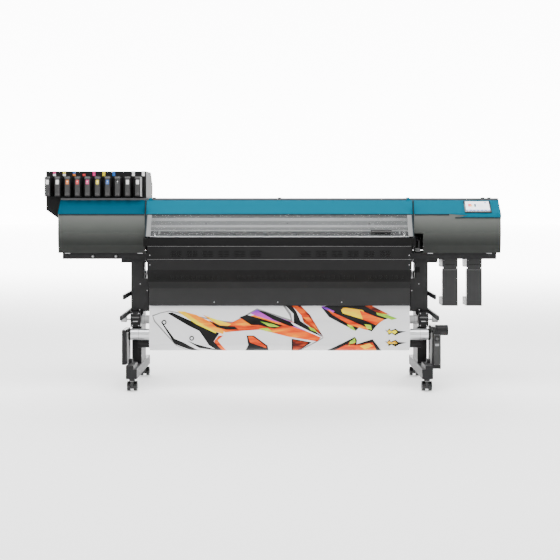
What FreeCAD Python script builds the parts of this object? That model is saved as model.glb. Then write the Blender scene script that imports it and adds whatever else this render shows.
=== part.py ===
import FreeCAD, Part
import math
import os
import re

import Sketcher

# A roll-fed printer and cutter for wide vinyl, on a caster stand, in millimetres.
# X runs along the machine, the operator stands at -Y, and Z is up from the floor.
# Every size below is counted from the middle of the stand; standOffsetX and
# standOffsetY then carry the stand to the middle of the whole machine.

Vector = FreeCAD.Vector

sizes = {
    "frame of reference": {
        "standOffsetX": 54,
        "standOffsetY": -28,
    },
    "overall": {
        "mediaWidth": 1625,
        "bayMargin": 33.5,
        "bayLength": 548,
        "bodyBack": 300,
        "plateThickness": 24,
        "panHeight": 40,
        "bedHeight": 105,
        "sideHeight": 246,
        "roofHeight": 333,
        "roofThickness": 14,
    },
    "clearances": {
        "slip": 0.05,
        "gap": 0.3,
        "seam": 3,
        "cutThrough": 1,
    },
    "casters": {
        "wheelRadius": 30,
        "wheelWidth": 20.5,
        "wheelGap": 21,
        "casterStem": 18,
        "casterTrail": 16,
        "casterSpread": 300,
        "casterInset": 26.6,
        "axleRadius": 4,
        "stemRadius": 7,
        "flangeRadius": 22,
        "flangeThickness": 4,
        "webThickness": 18,
        "webReach": 27,
    },
    "stand": {
        "legMargin": 73.5,
        "legWidth": 61,
        "legFront": 60,
        "legBack": 160,
        "legHeight": 648,
        "tubeWall": 3,
        "footOverlap": 6,
        "footHeight": 60,
        "footReach": 330,
        "stepInset": 14,
        "stepLength": 180,
        "stepHeight": 22,
        "lugWidth": 20,
        "lugDepth": 40,
        "lugHeight": 24,
        "beamHeight": 80,
        "beamDepth": 50,
        "beamBack": 150,
        "beamDrop": 146,
        "accessoryHole": 2.75,
        "accessorySpacingX": 100,
        "accessorySpacingZ": 50,
        "legCoverDepth": 50,
        "legCoverLift": 337,
        "legCoverStep": 101,
        "legCoverReach": 54,
        "legCoverTopReach": 21,
        "legCoverChamfer": 6,
    },
    "chassis": {
        "panInset": 20,
        "panFront": 150,
        "panBack": 250,
        "panWall": 3,
        "topPlateInner": 33,
        "topPlateOuter": 62,
        "topPlateFront": 110,
        "topPlateBack": 200,
        "uprightInset": 44,
        "uprightWall": 6,
        "uprightFront": 100,
    },
    "covers": {
        "coverFront": 200,
        "coverBelly": 5,
        "coverTuck": 12,
        "coverTuckHeight": 50,
        "coverBellyHeight": 130,
        "coverWall": 4,
        "coverChamfer": 6,
        "leverNotchWidth": 57,
        "leverNotchHeight": 124,
        "bandTopFront": 120,
        "bandHeight": 87,
        "bandSkin": 7,
        "bandOverlap": 3,
        "bandDrop": 20,
        "dropStart": 221,
        "dropEnd": 285,
        "dropKnee": 120,
        "dropKneeDepth": 8,
        "dropSkin": 3,
        "roofFront": 116,
        "roofChamfer": 5,
        "rearOpening": 150,
        "rearWall": 4,
        "inletX": 200,
        "inletZ": 60,
        "inletWidth": 50,
        "inletHeight": 30,
        "inletDepth": 14,
        "inletRecess": 11,
        "inletMouthWidth": 26,
        "inletMouthHeight": 18,
        "inletPinSize": 2,
        "inletPinSpacing": 7,
    },
    "front cover": {
        "hingeFront": 112,
        "hingeHeight": 340,
        "hingeReach": 26,
        "hingeLength": 20,
        "hingeRadius": 6.5,
        "hingePin": 3,
        "hingeNotchDepth": 20,
        "hingeNotchSide": 4,
        "windowBottomFront": 284,
        "windowBottomHeight": 106,
        "windowSkin": 6,
        "endFrameOuter": 10,
        "endFrameWidth": 35,
        "cheekWall": 6,
        "handleStart": 568,
        "handleLength": 129,
        "handleLow": 128,
        "handleTall": 19,
        "handleDepth": 12,
    },
    "print bed": {
        "platenReach": 2.5,
        "platenFront": 205,
        "platenBack": 150,
        "platenThickness": 20,
        "ribFront": 190,
        "ribBack": 100,
        "ribWall": 8,
        "gritCount": 8,
        "gritPitch": 203,
        "gritOffset": 13,
        "gritRadius": 11.8,
        "gritWidth": 30,
        "gritShaft": 6,
        "gritSlot": 14,
        "gritCeiling": 5,
        "gritBearing": 20,
        "pinchRadius": 7,
        "pinchWidth": 20,
        "pinchArmHeight": 14,
        "pinchPivotBack": 45,
        "pinchPivotHeight": 17,
        "pinchPivotRadius": 4,
        "pinchPivotEnd": 24,
        "pinchLug": 10,
        "pinchLugDepth": 16,
        "beamBottom": 135,
        "guideHeight": 115,
        "guideDepth": 60,
        "guideWall": 5,
    },
    "carriages": {
        "parkOffset": 254,
        "printHalf": 125,
        "printFront": 170,
        "carriageBack": 12,
        "printLift": 7,
        "printTop": 11,
        "cutHalf": 70,
        "cutFront": 150,
        "cutLift": 10,
        "cutTop": 40,
        "runnerLow": 10,
        "runnerTall": 76,
        "capHalf": 110,
        "capFront": 165,
        "capBack": 30,
        "capDrop": 6,
    },
    "load lever": {
        "postInset": 14,
        "postWidth": 12,
        "postDepth": 40,
        "postHeight": 100,
        "leverPivotFront": 90,
        "leverPivotHeight": 85,
        "leverPinRadius": 6,
        "leverThickness": 12,
        "leverHubRadius": 14,
        "leverFront": 188,
        "leverLow": 9,
        "leverHigh": 79,
        "leverDepth": 22,
        "leverArm": 12,
    },
    "dryer": {
        "dryerBack": 232,
        "dryerWall": 1.5,
        "dryerTopHeight": 99,
        "dryerTopFront": 290,
        "dryerLipHeight": 47,
        "dryerLipFront": 330,
        "dryerNoseDrop": 33,
        "dryerNoseFront": 345,
        "dryerChinDrop": 98,
        "dryerChinFront": 335,
        "dryerTuckDrop": 173,
        "dryerTuckFront": 285,
        "dryerKneeDrop": 215,
        "dryerKneeFront": 247,
        "dryerSkirtFront": 242,
        "dryerSkirtDrop": 327,
        "armWidth": 30,
        "armTop": 96,
        "armLow": 45,
        "armFront": 290,
        "armBack": 150,
    },
    "media": {
        "mediaThickness": 0.8,
        "mediaFront": 226,
        "mediaBend": 20,
        "sagFront": 257,
        "sagStart": 420,
        "sagBend": 150,
        "loopHeight": 101,
        "loopBend": 60,
    },
    "supply": {
        "rollCentreBack": 300,
        "rollDrop": 160,
        "rollRadius": 75,
        "supplyShaftRadius": 12,
        "flangeDisc": 100,
        "flangeDiscWidth": 8,
        "supplyShaftReach": 28,
        "apronRadius": 109.7,
        "apronSkin": 3,
        "apronSkirt": 45,
        "saddleWidth": 12,
        "saddleTall": 90,
        "saddleBack": 335,
    },
    "take-up": {
        "coreFront": 110,
        "coreHeight": 286,
        "coreRadius": 27,
        "coreWall": 4,
        "coreInset": 8,
        "coreShaft": 5,
        "collarRadius": 18,
        "collarWidth": 36,
        "collarGap": 26,
        "blockFront": 145,
        "blockInset": 4,
        "blockOutset": 2,
        "blockLow": 44,
        "blockTall": 95,
        "barFront": 200,
        "barHeight": 202,
        "barRadius": 35,
        "barWall": 2,
        "barPin": 6,
        "armPivotFront": 185,
        "armPivotHeight": 27,
        "armPin": 5,
        "armThickness": 12,
        "armTopWidth": 26,
        "armFootWidth": 30,
        "sideGap": 14,
        "driveWidth": 49,
        "driveFront": 230,
        "driveDepth": 200,
        "driveLow": 11,
        "driveHigh": 248,
        "driveRound": 24,
        "motorFront": 200,
        "motorHeight": 228,
        "motorRadius": 33,
        "motorStart": 35,
        "motorLength": 75,
        "leftCoverWidth": 26,
        "leftCoverLow": 13,
        "leftCoverHigh": 231,
        "flangeFront": 40,
        "flangeDepth": 50,
        "flangeLow": 160,
        "flangeTall": 50,
        "stayFront": 110,
        "stayHeight": 136,
        "stayRadius": 12,
        "stayHubRadius": 30,
        "stayHubInner": 60,
        "stayHubOuter": 14,
        "stayBracketTall": 40,
        "hookRootBack": 40,
        "hookThickness": 12,
        "hookSplay": 31,
        "hookTip": 300,
        "hookHeight": 28,
        "lowerHook": 325,
        "lowerHookDroop": 26,
        "upperHookTip": 250,
        "upperHook": 437,
        "upperHookDroop": 12,
        "upperHookSplay": 19,
    },
    "ink rack": {
        "rackOverhang": 108,
        "rackInset": 12,
        "rackFront": 50,
        "rackBack": 290,
        "rackHeight": 173,
        "rackSlopeBack": 200,
        "rackSlopeDrop": 80,
        "rackWall": 6,
        "bayDepth": 210,
        "cartridgeCount": 10,
        "cartridgePitch": 63.5,
        "cartridgeStart": 75.5,
        "cartridgeWidth": 36,
        "cartridgeTall": 123,
        "cartridgeLift": 10,
        "cartridgeFront": 160,
        "cartridgeBack": 150,
        "cartridgeFit": 0.5,
        "cartridgeChamfer": 3,
        "wingDrop": 75,
        "wingFoot": 131,
        "wingShelf": 31,
        "wingFront": 45,
        "wingBack": 200,
    },
    "drains": {
        "drainFirst": 243,
        "drainPitch": 154.5,
        "drainWidth": 98,
        "drainFront": 100,
        "drainBack": 60,
        "drainSkin": 3,
        "hangerHeight": 60,
        "hangerTaper": 8,
        "hangerPost": 30,
        "drainHeight": 301,
        "trayBack": 50,
        "trayHeight": 50,
        "bottleInset": 8,
        "bottleFront": 90,
        "bottleBack": 12,
        "bottleTop": 70,
        "bottleChamfer": 10,
        "neckRadius": 13,
        "neckHeight": 20,
    },
    "touch panel": {
        "screenStart": 321,
        "screenWidth": 168,
        "screenTall": 98,
        "screenThickness": 7,
        "screenOffset": 9,
    },
}

document = FreeCAD.newDocument("PrinterCutter")
sheet = document.addObject("Spreadsheet::Sheet", "Dims")
aliases = set()
row = 1
for group, entries in sizes.items():
    sheet.set("A%d" % row, group)
    row += 1
    for alias, entry in entries.items():
        sheet.set("A%d" % row, alias)
        sheet.set("B%d" % row, str(entry))
        sheet.setAlias("B%d" % row, alias)
        aliases.add(alias)
        row += 1
document.recompute()

# Places that several pieces share, as expressions of the sheet's sizes.
bay = "(mediaWidth / 2 + bayMargin)"
end = "(mediaWidth / 2 + bayMargin + bayLength)"
leg = "(mediaWidth / 2 + legMargin)"
legOuter = "(mediaWidth / 2 + legMargin + legWidth)"
platenEnd = "(mediaWidth / 2 + platenReach)"
footBottom = "(2 * wheelRadius + casterStem)"
footTop = "(2 * wheelRadius + casterStem + footHeight)"
legTop = "(2 * wheelRadius + casterStem + footHeight + legHeight)"
panBottom = f"({legTop} + plateThickness)"
deck = f"({legTop} + plateThickness + panHeight)"
bedTop = f"({deck} + bedHeight)"
shoulder = f"({deck} + sideHeight)"
bandTop = f"({deck} + sideHeight + bandHeight)"
roofBottom = f"({deck} + roofHeight)"
roofTop = f"({deck} + roofHeight + roofThickness)"
hingeZ = f"({deck} + hingeHeight)"
coreZ = f"({footTop} + coreHeight)"
rollZ = f"({deck} - rollDrop)"
barZ = f"({footTop} + barHeight)"
armPivotZ = f"({footTop} + armPivotHeight)"
park = f"({bay} + parkOffset)"
windowEnd = f"({bay} - endFrameOuter - endFrameWidth)"
pinchZ = f"({bedTop} + gap + mediaThickness + gap + pinchRadius)"
# How far the window leans forward for each millimetre down from the shoulder.
lean = f"((windowBottomFront - coverFront) / ({shoulder} - {deck} - windowBottomHeight))"

nodes = {}


def scoped(text):
    return re.sub(r"[A-Za-z]+", lambda word: "Dims." + word[0] if word[0] in aliases else word[0], text)


def number(text):
    found = sheet.evalExpression(scoped(text))
    return float(getattr(found, "Value", found))


def bind(thing, target, text):
    thing.setExpression(target, scoped(text))
    return thing


def place(thing, x="0", y="0", z="0"):
    bind(thing, "Placement.Base.x", f"standOffsetX + {x}")
    bind(thing, "Placement.Base.y", f"standOffsetY + {y}")
    bind(thing, "Placement.Base.z", z)
    return thing


def span(side, inner, outer):
    # The low and high X of a piece that lies between two distances from the middle.
    if side > 0:
        return inner, outer
    return f"-({outer})", f"-({inner})"


def block(name, x, y, z):
    box = document.addObject("Part::Box", name)
    for target, (low, high) in zip(("Length", "Width", "Height"), (x, y, z)):
        bind(box, target, f"({high}) - ({low})")
    return place(box, x[0], y[0], z[0])


def rod(name, axis, radius, x, y, z, length):
    turns = {
        "x": FreeCAD.Rotation(Vector(0, 1, 0), 90),
        "y": FreeCAD.Rotation(Vector(1, 0, 0), -90),
        "z": FreeCAD.Rotation(),
    }
    cylinder = document.addObject("Part::Cylinder", name)
    cylinder.Placement = FreeCAD.Placement(Vector(), turns[axis])
    bind(cylinder, "Radius", radius)
    bind(cylinder, "Height", length)
    return place(cylinder, x, y, z)


def rodAlongX(name, radius, x, y, z):
    return rod(name, "x", radius, x[0], y, z, f"({x[1]}) - ({x[0]})")


def prism(name, axis, outline, low, high):
    # A padded sketch: the outline lies across the axis and every corner is dimensioned.
    roles = {"x": "YZ_Plane", "y": "XZ_Plane", "z": "XY_Plane"}
    body = document.addObject("PartDesign::Body", name)
    sketch = body.newObject("Sketcher::SketchObject", name + "Sketch")
    plane = [item for item in body.Origin.OriginFeatures if item.Role == roles[axis]][0]
    sketch.AttachmentSupport = [(plane, "")]
    sketch.MapMode = "FlatFace"
    corners = [(number(across), number(up)) for across, up in outline]
    for index, corner in enumerate(corners):
        following = corners[(index + 1) % len(corners)]
        sketch.addGeometry(Part.LineSegment(Vector(*corner, 0), Vector(*following, 0)))
    for index in range(len(corners)):
        following = (index + 1) % len(corners)
        sketch.addConstraint(Sketcher.Constraint("Coincident", index, 2, following, 1))
    for index, expressions in enumerate(outline):
        for kind, value, text in zip(("DistanceX", "DistanceY"), corners[index], expressions):
            made = sketch.addConstraint(Sketcher.Constraint(kind, -1, 1, index, 1, value))
            bind(sketch, "Constraints[%d]" % made, text)
    pad = body.newObject("PartDesign::Pad", name + "Pad")
    pad.Profile = sketch
    pad.Reversed = axis == "y"
    bind(pad, "Length", f"({high}) - ({low})")
    sketch.Visibility = False
    starts = {"x": "0", "y": "0", "z": "0"}
    starts[axis] = low
    return place(body, **starts)


def chamfered(body, size, wanted):
    # Chamfers the edges whose middle point and direction the wanted function accepts.
    document.recompute()
    solid = body.Tip
    names = []
    for index, edge in enumerate(solid.Shape.Edges):
        middle = edge.valueAt((edge.FirstParameter + edge.LastParameter) / 2)
        ends = edge.Vertexes
        if wanted(middle, (ends[-1].Point - ends[0].Point)):
            names.append("Edge%d" % (index + 1))
    chamfer = body.newObject("PartDesign::Chamfer", body.Name + "Chamfer")
    chamfer.Base = (solid, names)
    bind(chamfer, "Size", size)
    body.Tip = chamfer
    return body


def fused(name, pieces):
    union = document.addObject("Part::MultiFuse", name)
    union.Shapes = pieces
    return union


def without(name, base, tools):
    cut = document.addObject("Part::Cut", name)
    cut.Base = base
    cut.Tool = tools[0] if len(tools) == 1 else fused(name + "Tools", tools)
    return cut


def grouped(name, pieces):
    group = document.addObject("Part::Compound", name)
    group.Links = pieces
    return group


def node(name, thing):
    thing.Label = name
    nodes[name] = thing


def ribbon(name, points, radii, thickness, halfWidth):
    # A bent sheet: straight runs joined by tangent arcs, thick to the right of its travel.
    edges = []
    here = points[0]
    for before, corner, after, radius in zip(points, points[1:], points[2:], radii):
        back = (before - corner).normalize()
        ahead = (after - corner).normalize()
        halfTurn = back.getAngle(ahead) / 2
        reach = radius / math.tan(halfTurn)
        start = corner + back * reach
        finish = corner + ahead * reach
        inward = (back + ahead).normalize()
        crown = corner + inward * (radius / math.sin(halfTurn) - radius)
        if (start - here).Length > 0.001:
            edges.append(Part.LineSegment(here, start).toShape())
        edges.append(Part.Arc(start, crown, finish).toShape())
        here = finish
    if (points[-1] - here).Length > 0.001:
        edges.append(Part.LineSegment(here, points[-1]).toShape())
    path = Part.Wire(edges)
    face = path.makeOffset2D(thickness, 0, True, True)
    piece = document.addObject("Part::Feature", name)
    piece.Shape = face.extrude(Vector(2 * halfWidth, 0, 0))
    piece.Placement = FreeCAD.Placement(
        Vector(number("standOffsetX") - halfWidth, number("standOffsetY"), 0), FreeCAD.Rotation()
    )
    return piece, path.Length


def makeCaster(name, side, way):
    x = f"({side} * ({leg} + casterInset))"
    y = f"({way} * casterSpread)"
    axleY = f"({y} + casterTrail)"
    web = block(
        name + "Web",
        (f"{x} - webThickness / 2", f"{x} + webThickness / 2"),
        (f"{y} - stemRadius", f"{axleY} + webReach / 2"),
        ("wheelRadius / 2", "2 * wheelRadius"),
    )
    stemLow = "1.5 * wheelRadius"
    stem = rod(name + "Stem", "z", "stemRadius", x, y, stemLow, f"{footBottom} - {stemLow}")
    flangeLow = f"{footBottom} - flangeThickness"
    flange = rod(name + "Flange", "z", "flangeRadius", x, y, flangeLow, "flangeThickness")
    reach = "(wheelGap / 2 + wheelWidth)"
    axle = rodAlongX(name + "Axle", "axleRadius", (f"{x} - {reach}", f"{x} + {reach}"), axleY, "wheelRadius")
    node("caster_fork_" + name, fused(name + "Fork", [web, stem, flange, axle]))
    wheels = []
    for twin, low in enumerate((f"{x} - {reach}", f"{x} + wheelGap / 2")):
        tag = "%sWheel%d" % (name, twin)
        tyre = rodAlongX(tag, "wheelRadius", (low, f"{low} + wheelWidth"), axleY, "wheelRadius")
        bore = rodAlongX(
            tag + "Bore", "axleRadius + slip", (f"{low} - cutThrough", f"{low} + wheelWidth + cutThrough"),
            axleY, "wheelRadius",
        )
        wheels.append(without(tag + "Bored", tyre, [bore]))
    node("caster_wheels_" + name, grouped(name + "Wheels", wheels))


def makeStand():
    legs = []
    feet = []
    covers = []
    for side, name in ((-1, "Left"), (1, "Right")):
        column = block("Leg" + name, span(side, leg, legOuter), ("-legFront", "legBack"), (footTop, legTop))
        hollow = block(
            "LegHollow" + name, span(side, f"{leg} + tubeWall", f"{legOuter} - tubeWall"),
            ("-legFront + tubeWall", "legBack - tubeWall"), (f"{footTop} - cutThrough", f"{legTop} + cutThrough"),
        )
        legs.append(without("LegTube" + name, column, [hollow]))

        footX = span(side, f"{leg} - footOverlap", legOuter)
        foot = block("Foot" + name, footX, ("-footReach", "footReach"), (footBottom, footTop))
        channel = block(
            "FootHollow" + name, span(side, f"{leg} - footOverlap + tubeWall", f"{legOuter} - tubeWall"),
            ("-footReach + tubeWall", "footReach + cutThrough"),
            (f"{footBottom} + tubeWall", f"{footTop} - tubeWall"),
        )
        step = block(
            "Step" + name, span(side, f"{leg} + stepInset", legOuter),
            ("-footReach", "-footReach + stepLength"), (footTop, f"{footTop} + stepHeight"),
        )
        lug = block(
            "Lug" + name, span(side, f"{legOuter} - lugWidth", legOuter),
            ("-armPivotFront - lugDepth / 2", "-armPivotFront + lugDepth / 2"),
            (f"{footTop} + stepHeight", f"{footTop} + stepHeight + lugHeight"),
        )
        pin = rodAlongX(
            "ArmPin" + name, "armPin", span(side, legOuter, f"{legOuter} + gap + armThickness + gap"),
            "-armPivotFront", armPivotZ,
        )
        feet.append(fused("FootAssembly" + name, [without("FootTube" + name, foot, [channel]), step, lug, pin]))

        low = f"({footTop} + legCoverLift)"
        shelf = f"({legTop} - legCoverStep)"
        outline = [
            (f"{side} * {legOuter}", low),
            (f"{side} * {legOuter}", legTop),
            (f"{side} * ({leg} - legCoverTopReach)", legTop),
            (f"{side} * ({leg} - legCoverTopReach)", shelf),
            (f"{side} * ({leg} - legCoverReach)", shelf),
            (f"{side} * ({leg} - legCoverReach)", low),
        ]
        cover = prism("LegCover" + name, "y", outline, "-legFront - legCoverDepth", "-legFront")
        chamfered(cover, "legCoverChamfer", lambda middle, along: abs(middle.y) < 0.01 and abs(along.z) > 1)
        covers.append(cover)
    node("stand_legs", grouped("Legs", legs))
    node("stand_feet", grouped("Feet", feet))
    node("leg_covers", grouped("LegCovers", covers))

    beamLow = f"({legTop} - beamDrop - beamHeight)"
    beamHigh = f"({legTop} - beamDrop)"
    beam = block("Beam", (f"-{leg}", leg), ("beamBack - beamDepth", "beamBack"), (beamLow, beamHigh))
    beamHollow = block(
        "BeamHollow", (f"-{leg} - cutThrough", f"{leg} + cutThrough"),
        ("beamBack - beamDepth + tubeWall", "beamBack - tubeWall"),
        (f"{beamLow} + tubeWall", f"{beamHigh} - tubeWall"),
    )
    holes = []
    for across in (-1, 1):
        for up in (-1, 1):
            holes.append(rod(
                "AccessoryHole%d%d" % (across + 1, up + 1), "y", "accessoryHole",
                f"{across} * accessorySpacingX / 2", "beamBack - 2 * tubeWall",
                f"({beamLow} + {beamHigh}) / 2 + {up} * accessorySpacingZ / 2", "3 * tubeWall",
            ))
    bars = [without("BeamTube", beam, [beamHollow] + holes)]
    stayZ = f"({footTop} + stayHeight)"
    hubs = []
    for side, name in ((-1, "Left"), (1, "Right")):
        hubs.append(rodAlongX(
            "StayHub" + name, "stayHubRadius", span(side, f"{leg} - stayHubInner", f"{leg} + stayHubOuter"),
            "-stayFront", stayZ,
        ))
        hubs.append(block(
            "StayBracket" + name, span(side, leg, f"{leg} + stayHubOuter"), ("-stayFront", "-legFront"),
            (f"{stayZ} - stayBracketTall / 2", f"{stayZ} + stayBracketTall / 2"),
        ))
    stay = rodAlongX("Stay", "stayRadius", (f"-{leg}", leg), "-stayFront", stayZ)
    bars.append(fused("StayPipe", [stay] + hubs))
    node("stand_crossbars", grouped("Crossbars", bars))


def makeChassis():
    panX = (f"-({end} - panInset)", f"{end} - panInset")
    pan = block("Pan", panX, ("-panFront", "panBack"), (panBottom, deck))
    hollow = block(
        "PanHollow", (f"{panX[0]} + panWall", f"{panX[1]} - panWall"), ("-panFront + panWall", "panBack - panWall"),
        (f"{panBottom} - cutThrough", f"{deck} - panWall"),
    )
    welded = [without("PanTray", pan, [hollow])]
    for side, name in ((-1, "Left"), (1, "Right")):
        welded.append(block(
            "TopPlate" + name, span(side, f"{leg} - topPlateInner", f"{legOuter} + topPlateOuter"),
            ("-topPlateFront", "topPlateBack"), (legTop, panBottom),
        ))
        welded.append(block(
            "Upright" + name, span(side, f"{end} - uprightInset", f"{end} - uprightInset + uprightWall"),
            ("-uprightFront", "panBack"), (deck, roofBottom),
        ))
    post = block(
        "LeverPost", (f"{bay} + postInset", f"{bay} + postInset + postWidth"),
        ("-leverPivotFront - postDepth / 2", "-leverPivotFront + postDepth / 2"), (deck, f"{deck} + postHeight"),
    )
    bore = rodAlongX(
        "LeverBore", "leverPinRadius + slip",
        (f"{bay} + postInset - cutThrough", f"{bay} + postInset + postWidth + cutThrough"),
        "-leverPivotFront", f"{deck} + leverPivotHeight",
    )
    welded.append(without("BoredPost", post, [bore]))
    node("chassis_pan", fused("Chassis", welded))

    beam = block(
        "Guide", (f"-({end} - uprightInset)", f"{end} - uprightInset"), ("0", "guideDepth"),
        (f"{deck} + beamBottom", f"{deck} + beamBottom + guideHeight"),
    )
    inside = block(
        "GuideHollow", (f"-({end} - uprightInset) - cutThrough", f"{end} - uprightInset + cutThrough"),
        ("guideWall", "guideDepth - guideWall"),
        (f"{deck} + beamBottom + guideWall", f"{deck} + beamBottom + guideHeight - guideWall"),
    )
    lugs = []
    pivotZ = f"({bedTop} + pinchPivotHeight)"
    for side, name in ((-1, "Left"), (1, "Right")):
        outer = "(mediaWidth / 2 - pinchPivotEnd)"
        lug = block(
            "PinchLug" + name, span(side, f"{outer} - pinchLug", outer),
            ("pinchPivotBack - pinchLugDepth / 2", "pinchPivotBack + pinchLugDepth / 2"),
            (f"{pivotZ} - pinchPivotRadius - tubeWall", f"{deck} + beamBottom"),
        )
        bore = rodAlongX(
            "PinchBore" + name, "pinchPivotRadius + slip",
            span(side, f"{outer} - pinchLug - cutThrough", f"{outer} + cutThrough"), "pinchPivotBack", pivotZ,
        )
        lugs.append(without("PinchEar" + name, lug, [bore]))
    node("guide_beam", fused("GuideBeam", [without("GuideTube", beam, [inside])] + lugs))


def gritX(index):
    return f"(({index} - (gritCount - 1) / 2) * gritPitch + gritOffset)"


def makeBed():
    low = f"({bedTop} - platenThickness)"
    outline = [
        ("-platenFront", low), ("-ribFront - ribWall", low), ("-ribFront - ribWall", deck), ("-ribFront", deck),
        ("-ribFront", low), ("ribBack", low), ("ribBack", deck), ("ribBack + ribWall", deck),
        ("ribBack + ribWall", low), ("platenBack", low), ("platenBack", bedTop), ("-platenFront", bedTop),
    ]
    bed = prism("Platen", "x", outline, f"-{platenEnd}", platenEnd)
    shaftZ = f"({bedTop} - gritRadius - slip)"
    channelEnd = f"({platenEnd} - gritBearing)"
    tools = [
        block("GritChannel", (f"-{channelEnd}", channelEnd), ("-gritSlot", "gritSlot"),
              (f"{low} - cutThrough", f"{bedTop} - gritCeiling")),
        rodAlongX("GritBore", "gritShaft + slip", (f"-{platenEnd} - cutThrough", f"{platenEnd} + cutThrough"),
                  "0", shaftZ),
    ]
    turning = [rodAlongX("GritShaft", "gritShaft", (f"-{platenEnd}", platenEnd), "0", shaftZ)]
    lifting = []
    for index in range(int(number("gritCount"))):
        x = gritX(index)
        tools.append(block(
            "GritSlot%d" % index, (f"{x} - gritWidth / 2 - cutThrough", f"{x} + gritWidth / 2 + cutThrough"),
            ("-gritSlot", "gritSlot"), (f"{bedTop} - 2 * gritCeiling", f"{bedTop} + cutThrough"),
        ))
        turning.append(rodAlongX(
            "GritRoller%d" % index, "gritRadius", (f"{x} - gritWidth / 2", f"{x} + gritWidth / 2"), "0", shaftZ))
        half = ("- pinchWidth / 2", "+ pinchWidth / 2")
        lifting.append(rodAlongX("PinchRoller%d" % index, "pinchRadius", (x + half[0], x + half[1]), "0", pinchZ))
        lifting.append(block(
            "PinchArm%d" % index, (x + half[0], x + half[1]),
            ("0", "pinchPivotBack + pinchPivotRadius"),
            (f"{pinchZ} - pinchPivotRadius", f"{pinchZ} - pinchPivotRadius + pinchArmHeight"),
        ))
    node("platen", without("BoredPlaten", bed, tools))
    node("grit_rollers", fused("GritRollers", turning))
    pivotEnd = "(mediaWidth / 2 - pinchPivotEnd)"
    lifting.append(rodAlongX(
        "PinchPivot", "pinchPivotRadius", (f"-{pivotEnd}", pivotEnd), "pinchPivotBack", f"{bedTop} + pinchPivotHeight"))
    node("pinch_rollers", fused("PinchRollers", lifting))


def makeCarriage(name, middle, half, front, low, high):
    x = (f"{middle} - {half}", f"{middle} + {half}")
    case = block(name + "Case", x, (f"-{front}", "-carriageBack"), (low, high))
    runner = block(
        name + "Runner", (f"{middle} - {half} / 2", f"{middle} + {half} / 2"), ("-carriageBack", "-gap"),
        (f"{deck} + beamBottom + runnerLow", f"{deck} + beamBottom + runnerLow + runnerTall"),
    )
    return fused(name, [case, runner])


def makeCarriages():
    node("print_carriage", makeCarriage(
        "PrintCarriage", park, "printHalf", "printFront", f"{bedTop} + printLift", f"{shoulder} - printTop"))
    node("cutting_carriage", makeCarriage(
        "CuttingCarriage", f"-{park}", "cutHalf", "cutFront", f"{bedTop} + cutLift", f"{shoulder} - cutTop"))
    node("capping_station", block(
        "CappingStation", (f"{park} - capHalf", f"{park} + capHalf"), ("-capFront", "-capBack"),
        (deck, f"{bedTop} - capDrop"),
    ))


def makeLever():
    x = (f"{bay} + postInset + postWidth + gap", f"{bay} + postInset + postWidth + gap + leverThickness")
    pivotZ = f"({deck} + leverPivotHeight)"
    pin = rodAlongX("LeverPin", "leverPinRadius", (f"{bay} + postInset", x[1]), "-leverPivotFront", pivotZ)
    hub = rodAlongX("LeverHub", "leverHubRadius", x, "-leverPivotFront", pivotZ)
    outline = [
        ("-leverFront", f"{deck} + leverLow"),
        ("-leverFront + leverDepth", f"{deck} + leverLow"),
        ("-leverFront + leverDepth", f"{pivotZ} - leverHubRadius - leverArm"),
        ("-leverPivotFront", f"{pivotZ} - leverHubRadius / 2"),
        ("-leverPivotFront", f"{pivotZ} + leverHubRadius / 2"),
        ("-leverFront", f"{deck} + leverHigh"),
    ]
    arm = prism("LeverArm", "x", outline, *x)
    node("load_lever", fused("LoadLever", [pin, hub, arm]))


def coverProfile(wall, low):
    # Front and back of a side cover, moved inwards by a wall.
    tuck = f"-(coverFront - coverTuck) + {wall}"
    return [
        (tuck, low),
        (f"-coverFront + {wall}", f"{deck} + coverTuckHeight"),
        (f"-(coverFront + coverBelly) + {wall}", f"{deck} + coverBellyHeight"),
        (f"-coverFront + {wall}", shoulder),
    ]


def makeSideCover(name, side):
    outline = coverProfile("0", deck) + [
        ("-coverFront - bandOverlap + bandSkin + gap", shoulder),
        ("-bandTopFront", f"{bandTop} - bandSkin - gap"),
        ("-bandTopFront", roofBottom),
        ("bodyBack", roofBottom),
        ("bodyBack", deck),
    ]
    shell = prism(name, "x", outline, *span(side, bay, end))
    # The pad starts at its own zero, so the outer end is its far or near face.
    length = number(f"{end} - {bay}")
    outer = length if side > 0 else 0
    front = -number("coverFront") + number("coverTuck") + 1
    chamfered(shell, "coverChamfer", lambda middle, along: (
        abs(middle.x - outer) < 0.01 and middle.y < front and abs(along.z) > 1 and middle.z < number(shoulder)))
    cavityOutline = coverProfile("coverWall", f"{deck} - cutThrough") + [
        ("-coverFront + coverWall", f"{roofBottom} + cutThrough"),
        ("bodyBack - coverWall", f"{roofBottom} + cutThrough"),
        ("bodyBack - coverWall", f"{deck} - cutThrough"),
    ]
    tools = [prism(name + "Cavity", "x", cavityOutline, *span(side, f"{bay} - cutThrough", f"{end} - coverWall"))]
    if side > 0:
        tools.append(block(
            name + "Notch", (f"{bay} - cutThrough", f"{bay} + leverNotchWidth"),
            ("-coverFront - 2 * coverBelly", "-coverFront + coverTuck + coverWall + cutThrough"),
            (f"{deck} - cutThrough", f"{deck} + leverNotchHeight"),
        ))
    return without(name + "Shell", shell, tools)


def bandOutline():
    return [
        ("-coverFront - bandOverlap", shoulder),
        ("-bandTopFront", bandTop),
        ("-bandTopFront", f"{bandTop} - bandSkin"),
        ("-coverFront - bandOverlap + bandSkin", shoulder),
    ]


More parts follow.
